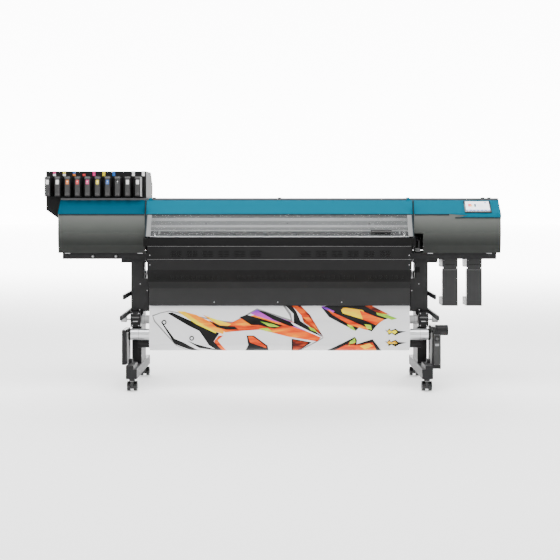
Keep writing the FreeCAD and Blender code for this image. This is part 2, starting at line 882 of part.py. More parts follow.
def makeCovers():
    node("side_cover_left", makeSideCover("SideCoverLeft", -1))
    node("side_cover_right", makeSideCover("SideCoverRight", 1))
    node("top_band_left", prism("TopBandLeft", "x", bandOutline(), *span(-1, bay, end)))
    band = prism("TopBand", "x", bandOutline(), bay, end)
    drop = prism("BandDrop", "y", [
        (f"{bay} + dropStart", shoulder),
        (f"{bay} + dropStart + dropKnee", f"{shoulder} - dropKneeDepth"),
        (f"{bay} + dropEnd", f"{shoulder} - bandDrop"),
        (end, f"{shoulder} - bandDrop"),
        (end, shoulder),
    ], "-coverFront - bandOverlap - dropSkin", "-coverFront - bandOverlap")
    lip = block(
        "BandLip", (f"{bay} + dropStart", end), ("-coverFront - bandOverlap - dropSkin", "-coverFront"),
        (shoulder, f"{shoulder} + bandOverlap"),
    )
    node("top_band_right", fused("TopBandRight", [band, drop, lip]))

    roof = prism("Roof", "y", [
        (f"-{end}", roofBottom), (f"-{end}", f"{roofTop} - roofChamfer"), (f"-({end} - roofChamfer)", roofTop),
        (f"{end} - roofChamfer", roofTop), (end, f"{roofTop} - roofChamfer"), (end, roofBottom),
    ], "-roofFront", "bodyBack")
    notches = []
    pins = []
    for side, name in ((-1, "Left"), (1, "Right")):
        inner = f"({bay} - hingeReach - hingeLength / 2 - hingeNotchSide)"
        outer = f"({bay} - hingeReach + hingeLength / 2 + hingeNotchSide)"
        notches.append(block(
            "HingeNotch" + name, span(side, inner, outer), ("-roofFront - cutThrough", "-roofFront + hingeNotchDepth"),
            (f"{roofBottom} - cutThrough", f"{roofTop} + cutThrough"),
        ))
        pins.append(rodAlongX("HingePin" + name, "hingePin", span(side, inner, outer), "-hingeFront", hingeZ))
    node("roof_cover", fused("RoofCover", [without("NotchedRoof", roof, notches)] + pins))
    node("rear_cover", block(
        "RearCover", (f"-{bay}", bay), ("bodyBack - rearWall", "bodyBack"), (f"{deck} + rearOpening", roofBottom)))

    x = f"({bay} + inletX)"
    socket = block(
        "Inlet", (f"{x} - inletWidth / 2", f"{x} + inletWidth / 2"), ("bodyBack", "bodyBack + inletDepth"),
        (f"{deck} + inletZ - inletHeight / 2", f"{deck} + inletZ + inletHeight / 2"),
    )
    mouth = block(
        "InletMouth", (f"{x} - inletMouthWidth / 2", f"{x} + inletMouthWidth / 2"),
        ("bodyBack + inletDepth - inletRecess", "bodyBack + inletDepth + cutThrough"),
        (f"{deck} + inletZ - inletMouthHeight / 2", f"{deck} + inletZ + inletMouthHeight / 2"),
    )
    blades = []
    for index in (-1, 0, 1):
        blades.append(block(
            "InletPin%d" % (index + 1),
            (f"{x} + {index} * inletPinSpacing - inletPinSize / 2", f"{x} + {index} * inletPinSpacing + inletPinSize / 2"),
            ("bodyBack + inletDepth - inletRecess", "bodyBack + inletDepth - inletPinSize"),
            (f"{deck} + inletZ - inletPinSize", f"{deck} + inletZ + inletPinSize"),
        ))
    node("power_inlet", fused("PowerInlet", [without("InletSocket", socket, [mouth])] + blades))


def windowY(height, skin):
    # Y of the window's outer face at a height above the deck, plus a skin inwards.
    return f"-(coverFront + (sideHeight - ({height})) * {lean}) + {skin}"


def makeFrontCover():
    edge = f"({bay} - seam)"
    band = prism("CoverBand", "x", bandOutline(), f"-{edge}", edge)
    knuckles = []
    for side, name in ((-1, "Left"), (1, "Right")):
        x = span(side, f"{bay} - hingeReach - hingeLength / 2", f"{bay} - hingeReach + hingeLength / 2")
        barrel = rodAlongX("HingeBarrel" + name, "hingeRadius", x, "-hingeFront", hingeZ)
        arm = block("HingeArm" + name, x, ("-bandTopFront - hingePin", "-hingeFront"),
                    (f"{bandTop} - bandSkin - hingePin", f"{hingeZ} - hingePin"))
        bore = rodAlongX(
            "HingeBore" + name, "hingePin + slip", (f"{x[0]} - cutThrough", f"{x[1]} + cutThrough"),
            "-hingeFront", hingeZ,
        )
        knuckles.append(without("Knuckle" + name, fused("KnuckleSolid" + name, [barrel, arm]), [bore]))
    node("cover_band", fused("FrontBand", [band] + knuckles))

    low = "windowBottomHeight"
    pane = [
        (windowY("sideHeight", "0"), shoulder), (windowY(low, "0"), f"{deck} + {low}"),
        (windowY(low, "windowSkin"), f"{deck} + {low}"), (windowY("sideHeight", "windowSkin"), shoulder),
    ]
    node("cover_window", prism("Window", "x", pane, f"-{windowEnd}", windowEnd))
    frames = []
    for side, name in ((-1, "Left"), (1, "Right")):
        strip = prism("EndStrip" + name, "x", pane, *span(side, windowEnd, f"{windowEnd} + endFrameWidth"))
        cheek = prism("EndCheek" + name, "x", [
            pane[0], pane[1], ("-coverFront - coverBelly", f"{deck} + {low}"),
            ("-coverFront + windowSkin", shoulder),
        ], *span(side, f"{windowEnd} + endFrameWidth - cheekWall", f"{windowEnd} + endFrameWidth"))
        frames.append(fused("EndFrame" + name, [strip, cheek]))
    node("cover_ends", grouped("EndFrames", frames))
    top = "handleLow + handleTall"
    node("cover_handle", prism("Handle", "x", [
        (windowY(top, "0"), f"{deck} + {top}"), (windowY("handleLow", "0"), f"{deck} + handleLow"),
        (windowY("handleLow", "-handleDepth"), f"{deck} + handleLow"),
        (windowY(top, "-handleDepth"), f"{deck} + {top}"),
    ], "handleStart", "handleStart + handleLength"))


def makeScreen():
    panel = block(
        "TouchPanel", (f"{bay} + screenStart", f"{bay} + screenStart + screenWidth"), ("0", "screenTall"),
        ("0", "screenThickness"),
    )
    panel.Placement = FreeCAD.Placement(Vector(), FreeCAD.Rotation(Vector(1, 0, 0), 45))
    rise = "atan(bandHeight / (coverFront + bandOverlap - bandTopFront))"
    bind(panel, "Placement.Rotation.Angle", rise)
    place(panel, f"{bay} + screenStart", f"-coverFront - bandOverlap + screenOffset * cos({rise}) - slip",
          f"{shoulder} + screenOffset * sin({rise}) + slip")
    node("touch_panel", panel)


def makeDryer():
    wall = "dryerWall"
    outer = [
        ("-dryerTopFront", f"{deck} + dryerTopHeight"),
        ("-dryerLipFront", f"{deck} + dryerLipHeight"),
        ("-dryerNoseFront", f"{deck} - dryerNoseDrop"),
        ("-dryerChinFront", f"{deck} - dryerChinDrop"),
        ("-dryerTuckFront", f"{deck} - dryerTuckDrop"),
        ("-dryerKneeFront", f"{deck} - dryerKneeDrop"),
        ("-dryerSkirtFront", f"{deck} - dryerSkirtDrop"),
        ("-dryerBack", f"{deck} - dryerSkirtDrop"),
        ("-dryerBack", f"{deck} + dryerTopHeight"),
    ]
    inner = [(f"{across} + {wall}", up) for across, up in outer[:7]]
    inner[0] = (f"-dryerTopFront + {wall}", f"{deck} + dryerTopHeight - {wall}")
    inner[6] = (f"-dryerSkirtFront + {wall}", f"{deck} - dryerSkirtDrop + {wall}")
    inner += [
        (f"-dryerBack - {wall}", f"{deck} - dryerSkirtDrop + {wall}"),
        (f"-dryerBack - {wall}", f"{deck} + dryerTopHeight - {wall}"),
    ]
    case = prism("DryerCase", "x", outer, f"-{platenEnd}", platenEnd)
    hollow = prism("DryerHollow", "x", inner, f"-{platenEnd} + {wall}", f"{platenEnd} - {wall}")
    pieces = [without("DryerShell", case, [hollow])]
    for side, name in ((-1, "Left"), (1, "Right")):
        pieces.append(block(
            "DryerArm" + name, span(side, platenEnd, f"{platenEnd} + armWidth"), ("-armFront", "-armBack"),
            (f"{deck} + armLow", f"{deck} + armTop"),
        ))
        pieces.append(block(
            "DryerFoot" + name, span(side, platenEnd, f"{platenEnd} + armWidth"),
            ("-armBack", "-armBack + armWidth"), (deck, f"{deck} + armTop"),
        ))
    node("dryer_housing", fused("DryerHousing", pieces))


def makeSupply():
    x = ("-mediaWidth / 2", "mediaWidth / 2")
    roll = rodAlongX("SupplyRoll", "rollRadius", x, "rollCentreBack", rollZ)
    core = rodAlongX("RollCore", "supplyShaftRadius", x, "rollCentreBack", rollZ)
    node("supply_roll", without("RolledMedia", roll, [core]))
    shaftEnd = f"({leg} + supplyShaftReach)"
    pieces = [rodAlongX("SupplyShaft", "supplyShaftRadius", (f"-{shaftEnd}", shaftEnd), "rollCentreBack", rollZ)]
    saddles = []
    for side, name in ((-1, "Left"), (1, "Right")):
        pieces.append(rodAlongX(
            "SupplyFlange" + name, "flangeDisc", span(side, "mediaWidth / 2", "mediaWidth / 2 + flangeDiscWidth"),
            "rollCentreBack", rollZ,
        ))
        wall = block(
            "Saddle" + name, span(side, f"{leg} - saddleWidth", leg), ("legBack - saddleTall", "saddleBack"),
            (f"{rollZ} - saddleTall / 2", f"{rollZ} + saddleTall / 3"),
        )
        seatX = span(side, f"{leg} - saddleWidth - cutThrough", f"{leg} + cutThrough")
        seat = rodAlongX("SaddleSeat" + name, "supplyShaftRadius + slip", seatX, "rollCentreBack", rollZ)
        throat = block(
            "SaddleThroat" + name, seatX,
            ("rollCentreBack - supplyShaftRadius - slip", "rollCentreBack + supplyShaftRadius + slip"),
            (rollZ, f"{rollZ} + saddleTall"),
        )
        saddles.append(without("SupplySaddle" + name, wall, [seat, throat]))
    node("supply_shaft", fused("SupplyAxle", pieces))
    node("supply_brackets", grouped("SupplySaddles", saddles))

    apronBack = number("rollCentreBack + rollRadius")
    top = number(bedTop)
    apron, _ = ribbon(
        "RearApron",
        [
            Vector(0, apronBack, number(deck) - number("apronSkirt")),
            Vector(0, apronBack, top),
            Vector(0, number("platenBack"), top),
        ],
        [number("apronRadius")],
        -number("apronSkin"),
        number(platenEnd),
    )
    node("rear_apron", apron)


def makeMedia():
    gap = number("gap")
    back = number("rollCentreBack + rollRadius") + gap
    bed = number(bedTop) + gap
    front = -number("mediaFront")
    sag = -number("sagFront")
    skirt = number(f"{deck} - dryerSkirtDrop")
    core = Vector(0, -number("coreFront"), number(coreZ))
    wrap = number("coreRadius") + gap
    rise = core.y + wrap
    bottom = number(f"{footTop} + loopHeight")
    sagTop = number(f"{deck} - sagStart")
    loop = number("loopBend")
    points = [
        Vector(0, back, number(rollZ)),
        Vector(0, back, bed),
        Vector(0, front, bed),
        Vector(0, front, skirt),
        Vector(0, sag, sagTop),
        Vector(0, sag, bottom),
        Vector(0, rise, bottom),
        Vector(0, rise, core.z + wrap),
        Vector(0, core.y - wrap, core.z + wrap),
        Vector(0, core.y - wrap, core.z - wrap),
        Vector(0, core.y, core.z - wrap),
    ]
    tilt = math.atan2(front - sag, skirt - sagTop)
    bend = min(number("sagBend"), (sagTop - bottom - loop) / math.tan(tilt / 2))
    radii = [number("apronRadius") + gap, number("mediaBend"), bend, bend, loop, loop, wrap, wrap, wrap]
    piece, length = ribbon("Media", points, radii, number("mediaThickness"), number("mediaWidth / 2"))
    print("media sheet is %.1f mm long and %.0f mm wide" % (length, number("mediaWidth")))
    node("media_sheet", piece)


def makeTakeUp():
    tubeEnd = f"({leg} - coreInset)"
    tube = rodAlongX("CoreTube", "coreRadius", (f"-{tubeEnd}", tubeEnd), "-coreFront", coreZ)
    hollow = rodAlongX(
        "CoreHollow", "coreRadius - coreWall", (f"-{tubeEnd} + coreWall", f"{tubeEnd} - coreWall"), "-coreFront", coreZ)
    pieces = [without("CoreShell", tube, [hollow])]
    blocks = []
    arms = []
    for side, name in ((-1, "Left"), (1, "Right")):
        collar = f"({legOuter} + collarGap)"
        pieces.append(rodAlongX(
            "CoreShaft" + name, "coreShaft", span(side, f"{tubeEnd} - coreWall", collar), "-coreFront", coreZ))
        pieces.append(rodAlongX(
            "Collar" + name, "collarRadius", span(side, collar, f"{collar} + collarWidth"), "-coreFront", coreZ))
        blockX = (f"{leg} - blockInset", f"{legOuter} - blockOutset")
        solid = block(
            "EndBlock" + name, span(side, *blockX), ("-blockFront", "-legFront"),
            (f"{coreZ} - blockLow", f"{coreZ} - blockLow + blockTall"),
        )
        bore = rodAlongX(
            "EndBore" + name, "coreShaft + slip", span(side, f"{blockX[0]} - cutThrough", f"{blockX[1]} + cutThrough"),
            "-coreFront", coreZ,
        )
        blocks.append(without("TakeUpBlock" + name, solid, [bore]))

        armX = span(side, f"{legOuter} + gap", f"{legOuter} + gap + armThickness")
        blade = prism("ArmBlade" + name, "x", [
            ("-armPivotFront - armFootWidth / 2", armPivotZ), ("-armPivotFront + armFootWidth / 2", armPivotZ),
            ("-barFront + armTopWidth / 2", barZ), ("-barFront - armTopWidth / 2", barZ),
        ], *armX)
        foot = rodAlongX("ArmFoot" + name, "armFootWidth / 2", armX, "-armPivotFront", armPivotZ)
        head = rodAlongX("ArmHead" + name, "armTopWidth / 2", armX, "-barFront", barZ)
        through = span(side, legOuter, f"{legOuter} + gap + armThickness + cutThrough")
        eyes = [
            rodAlongX("ArmEye" + name, "armPin + slip", through, "-armPivotFront", armPivotZ),
            rodAlongX("BarEye" + name, "barPin + slip", through, "-barFront", barZ),
        ]
        arms.append(without("DancerArm" + name, fused("ArmSolid" + name, [blade, foot, head]), eyes))
    node("takeup_core", fused("TakeUpCore", pieces))
    node("takeup_end_blocks", grouped("TakeUpBlocks", blocks))
    node("dancer_arms", grouped("DancerArms", arms))

    barEnd = f"({legOuter} - cutThrough)"
    bar = rodAlongX("BarTube", "barRadius", (f"-{barEnd}", barEnd), "-barFront", barZ)
    inside = rodAlongX(
        "BarHollow", "barRadius - barWall", (f"-{barEnd} + 2 * barWall", f"{barEnd} - 2 * barWall"), "-barFront", barZ)
    journals = [
        rodAlongX("BarJournal%d" % side, "barPin", span(side, f"{barEnd} - barWall", f"{legOuter} + gap + armThickness"),
                  "-barFront", barZ)
        for side in (-1, 1)
    ]
    node("tension_bar", fused("TensionBar", [without("BarShell", bar, [inside])] + journals))

    driveX = (f"{legOuter} + sideGap", f"{legOuter} + sideGap + driveWidth")
    flange = ("-flangeFront", "-flangeFront + flangeDepth")
    flangeZ = (f"{footTop} + flangeLow", f"{footTop} + flangeLow + flangeTall")
    box = prism("DriveBox", "x", [
        ("-driveFront", f"{footTop} - driveLow"), ("-driveFront + driveDepth", f"{footTop} - driveLow"),
        ("-driveFront + driveDepth", f"{footTop} + driveHigh - driveRound"),
        ("-driveFront + driveDepth - driveRound", f"{footTop} + driveHigh"),
        ("-driveFront + driveRound", f"{footTop} + driveHigh"),
        ("-driveFront", f"{footTop} + driveHigh - driveRound"),
    ], *driveX)
    motor = rodAlongX(
        "DriveMotor", "motorRadius", (f"{legOuter} + motorStart", f"{legOuter} + motorStart + motorLength"),
        "-motorFront", f"{footTop} + motorHeight",
    )
    node("takeup_drive_box", fused("TakeUpDrive", [
        box, motor, block("DriveFlange", (legOuter, driveX[0]), flange, flangeZ)]))
    coverX = span(-1, f"{legOuter} + sideGap", f"{legOuter} + sideGap + leftCoverWidth")
    plate = prism("TakeUpPlate", "x", [
        ("-driveFront", f"{footTop} + leftCoverLow"), ("-driveFront + driveDepth", f"{footTop} + leftCoverLow"),
        ("-driveFront + driveDepth", f"{footTop} + leftCoverHigh - driveRound"),
        ("-driveFront + driveDepth - driveRound", f"{footTop} + leftCoverHigh"),
        ("-driveFront", f"{footTop} + leftCoverHigh"),
    ], *coverX)
    node("takeup_cover", fused("TakeUpCover", [
        plate, block("CoverFlange", span(-1, legOuter, f"{legOuter} + sideGap"), flange, flangeZ)]))


def makeHook(name, side, height, tip, droop, splay):
    # A tapered arm that leans outwards and down from the leg's outer face.
    def section(back, x, low):
        thick = number("hookThickness")
        tall = number("hookHeight")
        corners = [
            Vector(side * x, back, low),
            Vector(side * (x + thick), back, low),
            Vector(side * (x + thick), back, low + tall),
            Vector(side * x, back, low + tall),
        ]
        return Part.makePolygon(corners + corners[:1])

    root = number(legOuter)
    low = number(f"{footTop} + {height}")
    hook = document.addObject("Part::Feature", name)
    rear = number("hookRootBack")
    near = number("legFront")
    pieces = [
        Part.makeLoft([section(-rear, root, low), section(-near, root, low)], True),
        Part.makeLoft([
            section(-near, root, low), section(-number(tip), root + number(splay), low - number(droop))], True),
    ]
    hook.Shape = pieces[0].fuse(pieces[1])
    hook.Placement = FreeCAD.Placement(
        Vector(number("standOffsetX"), number("standOffsetY"), 0), FreeCAD.Rotation())
    return hook


def makeHooks():
    hooks = []
    for side, name in ((-1, "Left"), (1, "Right")):
        hooks.append(makeHook("LowerHook" + name, side, "lowerHook", "hookTip", "lowerHookDroop", "hookSplay"))
        hooks.append(makeHook(
            "UpperHook" + name, side, "upperHook", "upperHookTip", "upperHookDroop", "upperHookSplay"))
    node("side_hooks", grouped("SideHooks", hooks))


def cartridgeX(index):
    return f"(-({end} + cartridgeStart) + {index} * cartridgePitch)"


def makeInk():
    top = f"({roofTop} + rackHeight)"
    body = prism("Rack", "x", [
        ("-rackFront", roofTop), ("-rackFront", top), ("rackSlopeBack", top),
        ("rackBack", f"{top} - rackSlopeDrop"), ("rackBack", roofTop),
    ], f"-({end} + rackOverhang)", f"-({bay} + rackInset)")
    hollow = block(
        "RackHollow", (f"-({end} + rackOverhang - rackWall)", f"-({bay} + rackInset + rackWall)"),
        ("-rackFront + bayDepth + rackWall", "rackBack - rackWall"),
        (f"{roofTop} + rackWall", f"{top} - rackSlopeDrop - rackWall"),
    )
    bays = [hollow]
    low = f"({roofTop} + cartridgeLift)"
    for index in range(int(number("cartridgeCount"))):
        x = cartridgeX(index)
        bays.append(block(
            "Bay%d" % index,
            (f"{x} - cartridgeWidth / 2 - cartridgeFit", f"{x} + cartridgeWidth / 2 + cartridgeFit"),
            ("-rackFront - cutThrough", "-rackFront + bayDepth"),
            (f"{low} - cartridgeFit", f"{low} + cartridgeTall + cartridgeFit"),
        ))
        cartridge = prism("Cartridge%d" % index, "y", [
            (f"{x} - cartridgeWidth / 2", low), (f"{x} + cartridgeWidth / 2", low),
            (f"{x} + cartridgeWidth / 2", f"{low} + cartridgeTall"),
            (f"{x} - cartridgeWidth / 2", f"{low} + cartridgeTall"),
        ], "-cartridgeFront", "cartridgeBack")
        chamfered(cartridge, "cartridgeChamfer", lambda middle, along: (
            abs(middle.y) < 0.01 and abs(along.z) > 1))
        node("ink_cartridge_%02d" % (index + 1), cartridge)
    node("ink_rack", without("InkRack", body, bays))
    node("ink_rack_bracket", prism("RackWing", "y", [
        (f"-{end}", roofTop), (f"-({end} + rackOverhang)", roofTop),
        (f"-({end} + rackOverhang)", f"{roofTop} - wingDrop"), (f"-({end} + wingShelf)", f"{roofTop} - wingFoot"),
        (f"-{end}", f"{roofTop} - wingFoot"),
    ], "-wingFront", "wingBack"))


def makeDrains():
    holders = []
    bottles = []
    skin = "drainSkin"
    for index in range(2):
        x = f"({bay} + drainFirst + {index} * drainPitch)"
        wide = (f"{x} - drainWidth / 2", f"{x} + drainWidth / 2")
        hangLow = f"({panBottom} - hangerHeight)"
        trayLow = f"({panBottom} - drainHeight)"
        hanger = prism("Hanger%d" % index, "y", [
            (wide[0], panBottom), (wide[1], panBottom), (wide[1], f"{hangLow} + hangerTaper"),
            (f"{wide[1]} - hangerTaper", hangLow), (f"{wide[0]} + hangerTaper", hangLow),
            (wide[0], f"{hangLow} + hangerTaper"),
        ], "-drainFront", "drainBack")
        hangerHollow = block(
            "HangerHollow%d" % index, (f"{wide[0]} + {skin}", f"{wide[1]} - {skin}"),
            (f"-drainFront + {skin}", f"drainBack - {skin}"), (f"{hangLow} - cutThrough", f"{panBottom} - {skin}"),
        )
        post = block(
            "HangerPost%d" % index, (f"{x} - hangerPost / 2", f"{x} + hangerPost / 2"),
            ("-hangerPost / 2", "hangerPost / 2"), (f"{panBottom} - {skin}", f"{deck} - panWall"),
        )
        front = block("DrainFront%d" % index, wide, ("-drainFront", f"-drainFront + {skin}"), (trayLow, hangLow))
        frontJoin = block(
            "DrainJoin%d" % index, (f"{wide[0]} + hangerTaper", f"{wide[1]} - hangerTaper"),
            ("-drainFront", f"-drainFront + {skin}"), (f"{hangLow} - hangerTaper", f"{hangLow} + hangerTaper"),
        )
        tray = block("DrainTray%d" % index, wide, ("-drainFront", "trayBack"), (trayLow, f"{trayLow} + trayHeight"))
        trayHollow = block(
            "TrayHollow%d" % index, (f"{wide[0]} + {skin}", f"{wide[1]} - {skin}"),
            (f"-drainFront + {skin}", f"trayBack - {skin}"),
            (f"{trayLow} + {skin}", f"{trayLow} + trayHeight + cutThrough"),
        )
        holders.append(fused("DrainHolder%d" % index, [
            without("HangerShell%d" % index, hanger, [hangerHollow]), post, front, frontJoin,
            without("TrayShell%d" % index, tray, [trayHollow]),
        ]))
        bottleTop = f"({panBottom} - bottleTop)"
        flask = prism("Bottle%d" % index, "z", [
            (f"{wide[0]} + bottleInset", "-bottleFront"), (f"{wide[1]} - bottleInset", "-bottleFront"),
            (f"{wide[1]} - bottleInset", "-bottleBack"), (f"{wide[0]} + bottleInset", "-bottleBack"),
        ], f"{trayLow} + {skin}", bottleTop)
        chamfered(flask, "bottleChamfer", lambda middle, along: abs(along.z) > 1)
        neck = rod("Neck%d" % index, "z", "neckRadius", x, "-(bottleFront + bottleBack) / 2", bottleTop, "neckHeight")
        bottles.append(fused("DrainBottle%d" % index, [flask, neck]))
    node("drain_holders", grouped("DrainHolders", holders))
    node("drain_bottles", grouped("DrainBottles", bottles))


for casterName, side, way in (
    ("front_left", -1, -1), ("front_right", 1, -1), ("rear_left", -1, 1), ("rear_right", 1, 1)
):
    makeCaster(casterName, side, way)
makeStand()
makeChassis()
makeBed()
makeCarriages()
makeLever()
makeCovers()
makeFrontCover()
makeScreen()
makeDryer()
makeSupply()
makeMedia()
makeTakeUp()
makeHooks()
makeInk()
makeDrains()
document.recompute()

faults = [item.Name for item in document.Objects if {"Invalid", "Error"} & set(item.State)]
faults += [name for name, thing in nodes.items() if thing.Shape.isNull() or not thing.Shape.isValid()]
if faults:
    raise RuntimeError("these objects failed: %s" % ", ".join(faults))
os.makedirs("parts", exist_ok=True)
for name, thing in nodes.items():
    thing.Shape.exportStep(os.path.join("parts", name + ".step"))
print("%d sub-parts written" % len(nodes))
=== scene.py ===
import math
import bmesh
import bpy
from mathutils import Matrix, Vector


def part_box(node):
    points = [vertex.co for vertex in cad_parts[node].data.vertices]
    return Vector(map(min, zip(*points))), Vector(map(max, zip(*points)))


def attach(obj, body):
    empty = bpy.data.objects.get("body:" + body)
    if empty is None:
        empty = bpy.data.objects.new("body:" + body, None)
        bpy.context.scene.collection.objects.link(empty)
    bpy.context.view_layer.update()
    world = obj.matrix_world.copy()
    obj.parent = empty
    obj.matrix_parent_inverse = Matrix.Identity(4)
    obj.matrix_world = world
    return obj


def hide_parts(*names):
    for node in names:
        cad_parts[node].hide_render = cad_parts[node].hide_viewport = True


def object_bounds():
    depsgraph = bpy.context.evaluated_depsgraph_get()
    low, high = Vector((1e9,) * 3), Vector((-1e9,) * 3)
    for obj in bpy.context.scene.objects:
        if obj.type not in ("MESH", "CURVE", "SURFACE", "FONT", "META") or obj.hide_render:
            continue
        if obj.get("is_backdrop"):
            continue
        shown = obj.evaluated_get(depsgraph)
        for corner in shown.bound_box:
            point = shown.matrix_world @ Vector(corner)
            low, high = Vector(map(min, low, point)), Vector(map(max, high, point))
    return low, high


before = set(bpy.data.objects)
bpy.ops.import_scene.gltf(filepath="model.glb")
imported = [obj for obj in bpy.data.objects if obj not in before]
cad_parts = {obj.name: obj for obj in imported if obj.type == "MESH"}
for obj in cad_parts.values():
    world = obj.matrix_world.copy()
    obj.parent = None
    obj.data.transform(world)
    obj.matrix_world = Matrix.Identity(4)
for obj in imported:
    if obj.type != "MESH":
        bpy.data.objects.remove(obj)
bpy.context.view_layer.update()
print("frame loaded:", len(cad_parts), "nodes")

mm = 0.001
quarter = math.pi / 2
standX = (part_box("stand_legs")[0].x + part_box("stand_legs")[1].x) / 2
standY = (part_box("stand_feet")[0].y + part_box("stand_feet")[1].y) / 2

# The camera looks straight at the front of the stand.
camera = {"distance": 6.7, "height": 1.121, "lens": 66.45, "shiftX": 0.0009, "shiftY": -0.125, "farClip": 200}

bpy.ops.object.select_all(action="DESELECT")
bpy.ops.object.camera_add(
    location=(standX, standY - camera["distance"], camera["height"]), rotation=(quarter, 0, 0))
viewer = bpy.context.object
viewer.data.lens = camera["lens"]
viewer.data.shift_x = camera["shiftX"]
viewer.data.shift_y = camera["shiftY"]
viewer.data.clip_end = camera["farClip"]
bpy.context.scene.camera = viewer

# Soft boxes round the machine; sizes in metres, power in watts.
lamps = {
    "topBox": {"spot": (0, -1.2, 4.2), "size": (6, 3), "power": 380},
    "frontBox": {"spot": (0.6, -6.5, 3.2), "size": (5, 2), "power": 110},
    "leftBox": {"spot": (-5, -2, 2.2), "size": (2.5, 2.5), "power": 60},
    "rightBox": {"spot": (5, -2, 2.2), "size": (2.5, 2.5), "power": 60},
    "backBox": {"spot": (0, 5.5, 3.5), "size": (5, 2), "power": 60},
}
lampTarget = Vector((0, 0, 0.8))
for name, lamp in lamps.items():
    bpy.ops.object.light_add(type="AREA", location=lamp["spot"])
    made = bpy.context.object
    made.name = name
    made.data.shape = "RECTANGLE"
    made.data.size, made.data.size_y = lamp["size"]
    made.data.energy = lamp["power"]
    made.rotation_euler = (lampTarget - Vector(lamp["spot"])).to_track_quat("-Z", "Y").to_euler()

studio = {"world": 0.5, "wall": 8, "floor": 0.3}
world = bpy.data.worlds.new("studioWorld")
bpy.context.scene.world = world
world.use_nodes = True
sky = world.node_tree.nodes["Background"].inputs
sky["Color"].default_value = (1, 1, 1, 1)
sky["Strength"].default_value = studio["world"]
print("camera and lights placed")


# Materials.
def fill(tree, node, inputs):
    # Sets a node's inputs, or links those that are given another node's output.
    for key, value in inputs.items():
        if hasattr(value, "is_linked"):
            tree.links.new(value, node.inputs[key])
        else:
            node.inputs[key].default_value = value


def addNode(tree, kind, inputs=None, settings=None):
    made = tree.nodes.new(kind)
    for key, value in (settings or {}).items():
        setattr(made, key, value)
    fill(tree, made, inputs or {})
    return made


def startMaterial(name):
    # A new material, its tree, its shader and the coordinates its textures use.
    material = bpy.data.materials.new(name)
    material.use_nodes = True
    tree = material.node_tree
    return material, tree, tree.nodes["Principled BSDF"], addNode(tree, "ShaderNodeTexCoord").outputs["Object"]


def mixTwo(tree, factor, first, second):
    return addNode(tree, "ShaderNodeMix", {0: factor, 6: first, 7: second}, {"data_type": "RGBA"}).outputs[2]


def noise(tree, vector, scale, detail):
    return addNode(tree, "ShaderNodeTexNoise", {"Vector": vector, "Scale": scale, "Detail": detail}).outputs["Fac"]


def between(tree, value, low, high):
    return addNode(tree, "ShaderNodeMapRange", {"Value": value, "To Min": low, "To Max": high}).outputs["Result"]


def rgb(red, green, blue):
    return (red, green, blue, 1)


smooth = {"interpolation_type": "SMOOTHSTEP"}

# What a look has unless it says otherwise; distances in metres, edge in millimetres.
plainLook = {
    "roughness": 0.5, "grain": 900, "bump": 0.1, "mottle": 7, "variation": 0.12, "edge": 1.2, "metallic": 0,
    "specular": 0.5, "coat": 0, "coatRoughness": 0.1, "duller": 0.05, "glossier": 0.04, "bumpHeight": 0.0004,
}


def paintedSurface(name, ownLook):
    # A moulded or coated surface: grain in the bump, slow mottling in colour and gloss, softened edges.
    look = {**plainLook, **ownLook}
    material, tree, shader, coords = startMaterial(name)
    slow = noise(tree, coords, look["mottle"], 4)
    base = look["colour"]
    colour = mixTwo(tree, slow, rgb(*(channel * (1 - look["variation"]) for channel in base)), rgb(*base))
    if "paintedLightByHeight" in look:
        # Painted light: a second colour that takes over with height, as (low height, high height, colour at the top).
        low, high, top = look["paintedLightByHeight"]
        height = addNode(tree, "ShaderNodeSeparateXYZ", {"Vector": coords}).outputs["Z"]
        rise = addNode(tree, "ShaderNodeMapRange", {"Value": height, "From Min": low, "From Max": high}, smooth)
        colour = mixTwo(tree, rise.outputs["Result"], colour, rgb(*top))
    edges = addNode(tree, "ShaderNodeBevel", {"Radius": look["edge"] * mm}, {"samples": 4})
    bump = addNode(tree, "ShaderNodeBump", {
        "Strength": look["bump"], "Distance": look["bumpHeight"],
        "Height": noise(tree, coords, look["grain"], 3), "Normal": edges.outputs["Normal"]})
    fill(tree, shader, {
        "Base Color": colour, "Metallic": look["metallic"], "Normal": bump.outputs["Normal"],
        "Roughness": between(tree, slow, look["roughness"] - look["glossier"], look["roughness"] + look["duller"]),
        "Specular IOR Level": look["specular"], "Coat Weight": look["coat"],
        "Coat Roughness": look["coatRoughness"]})
    return material


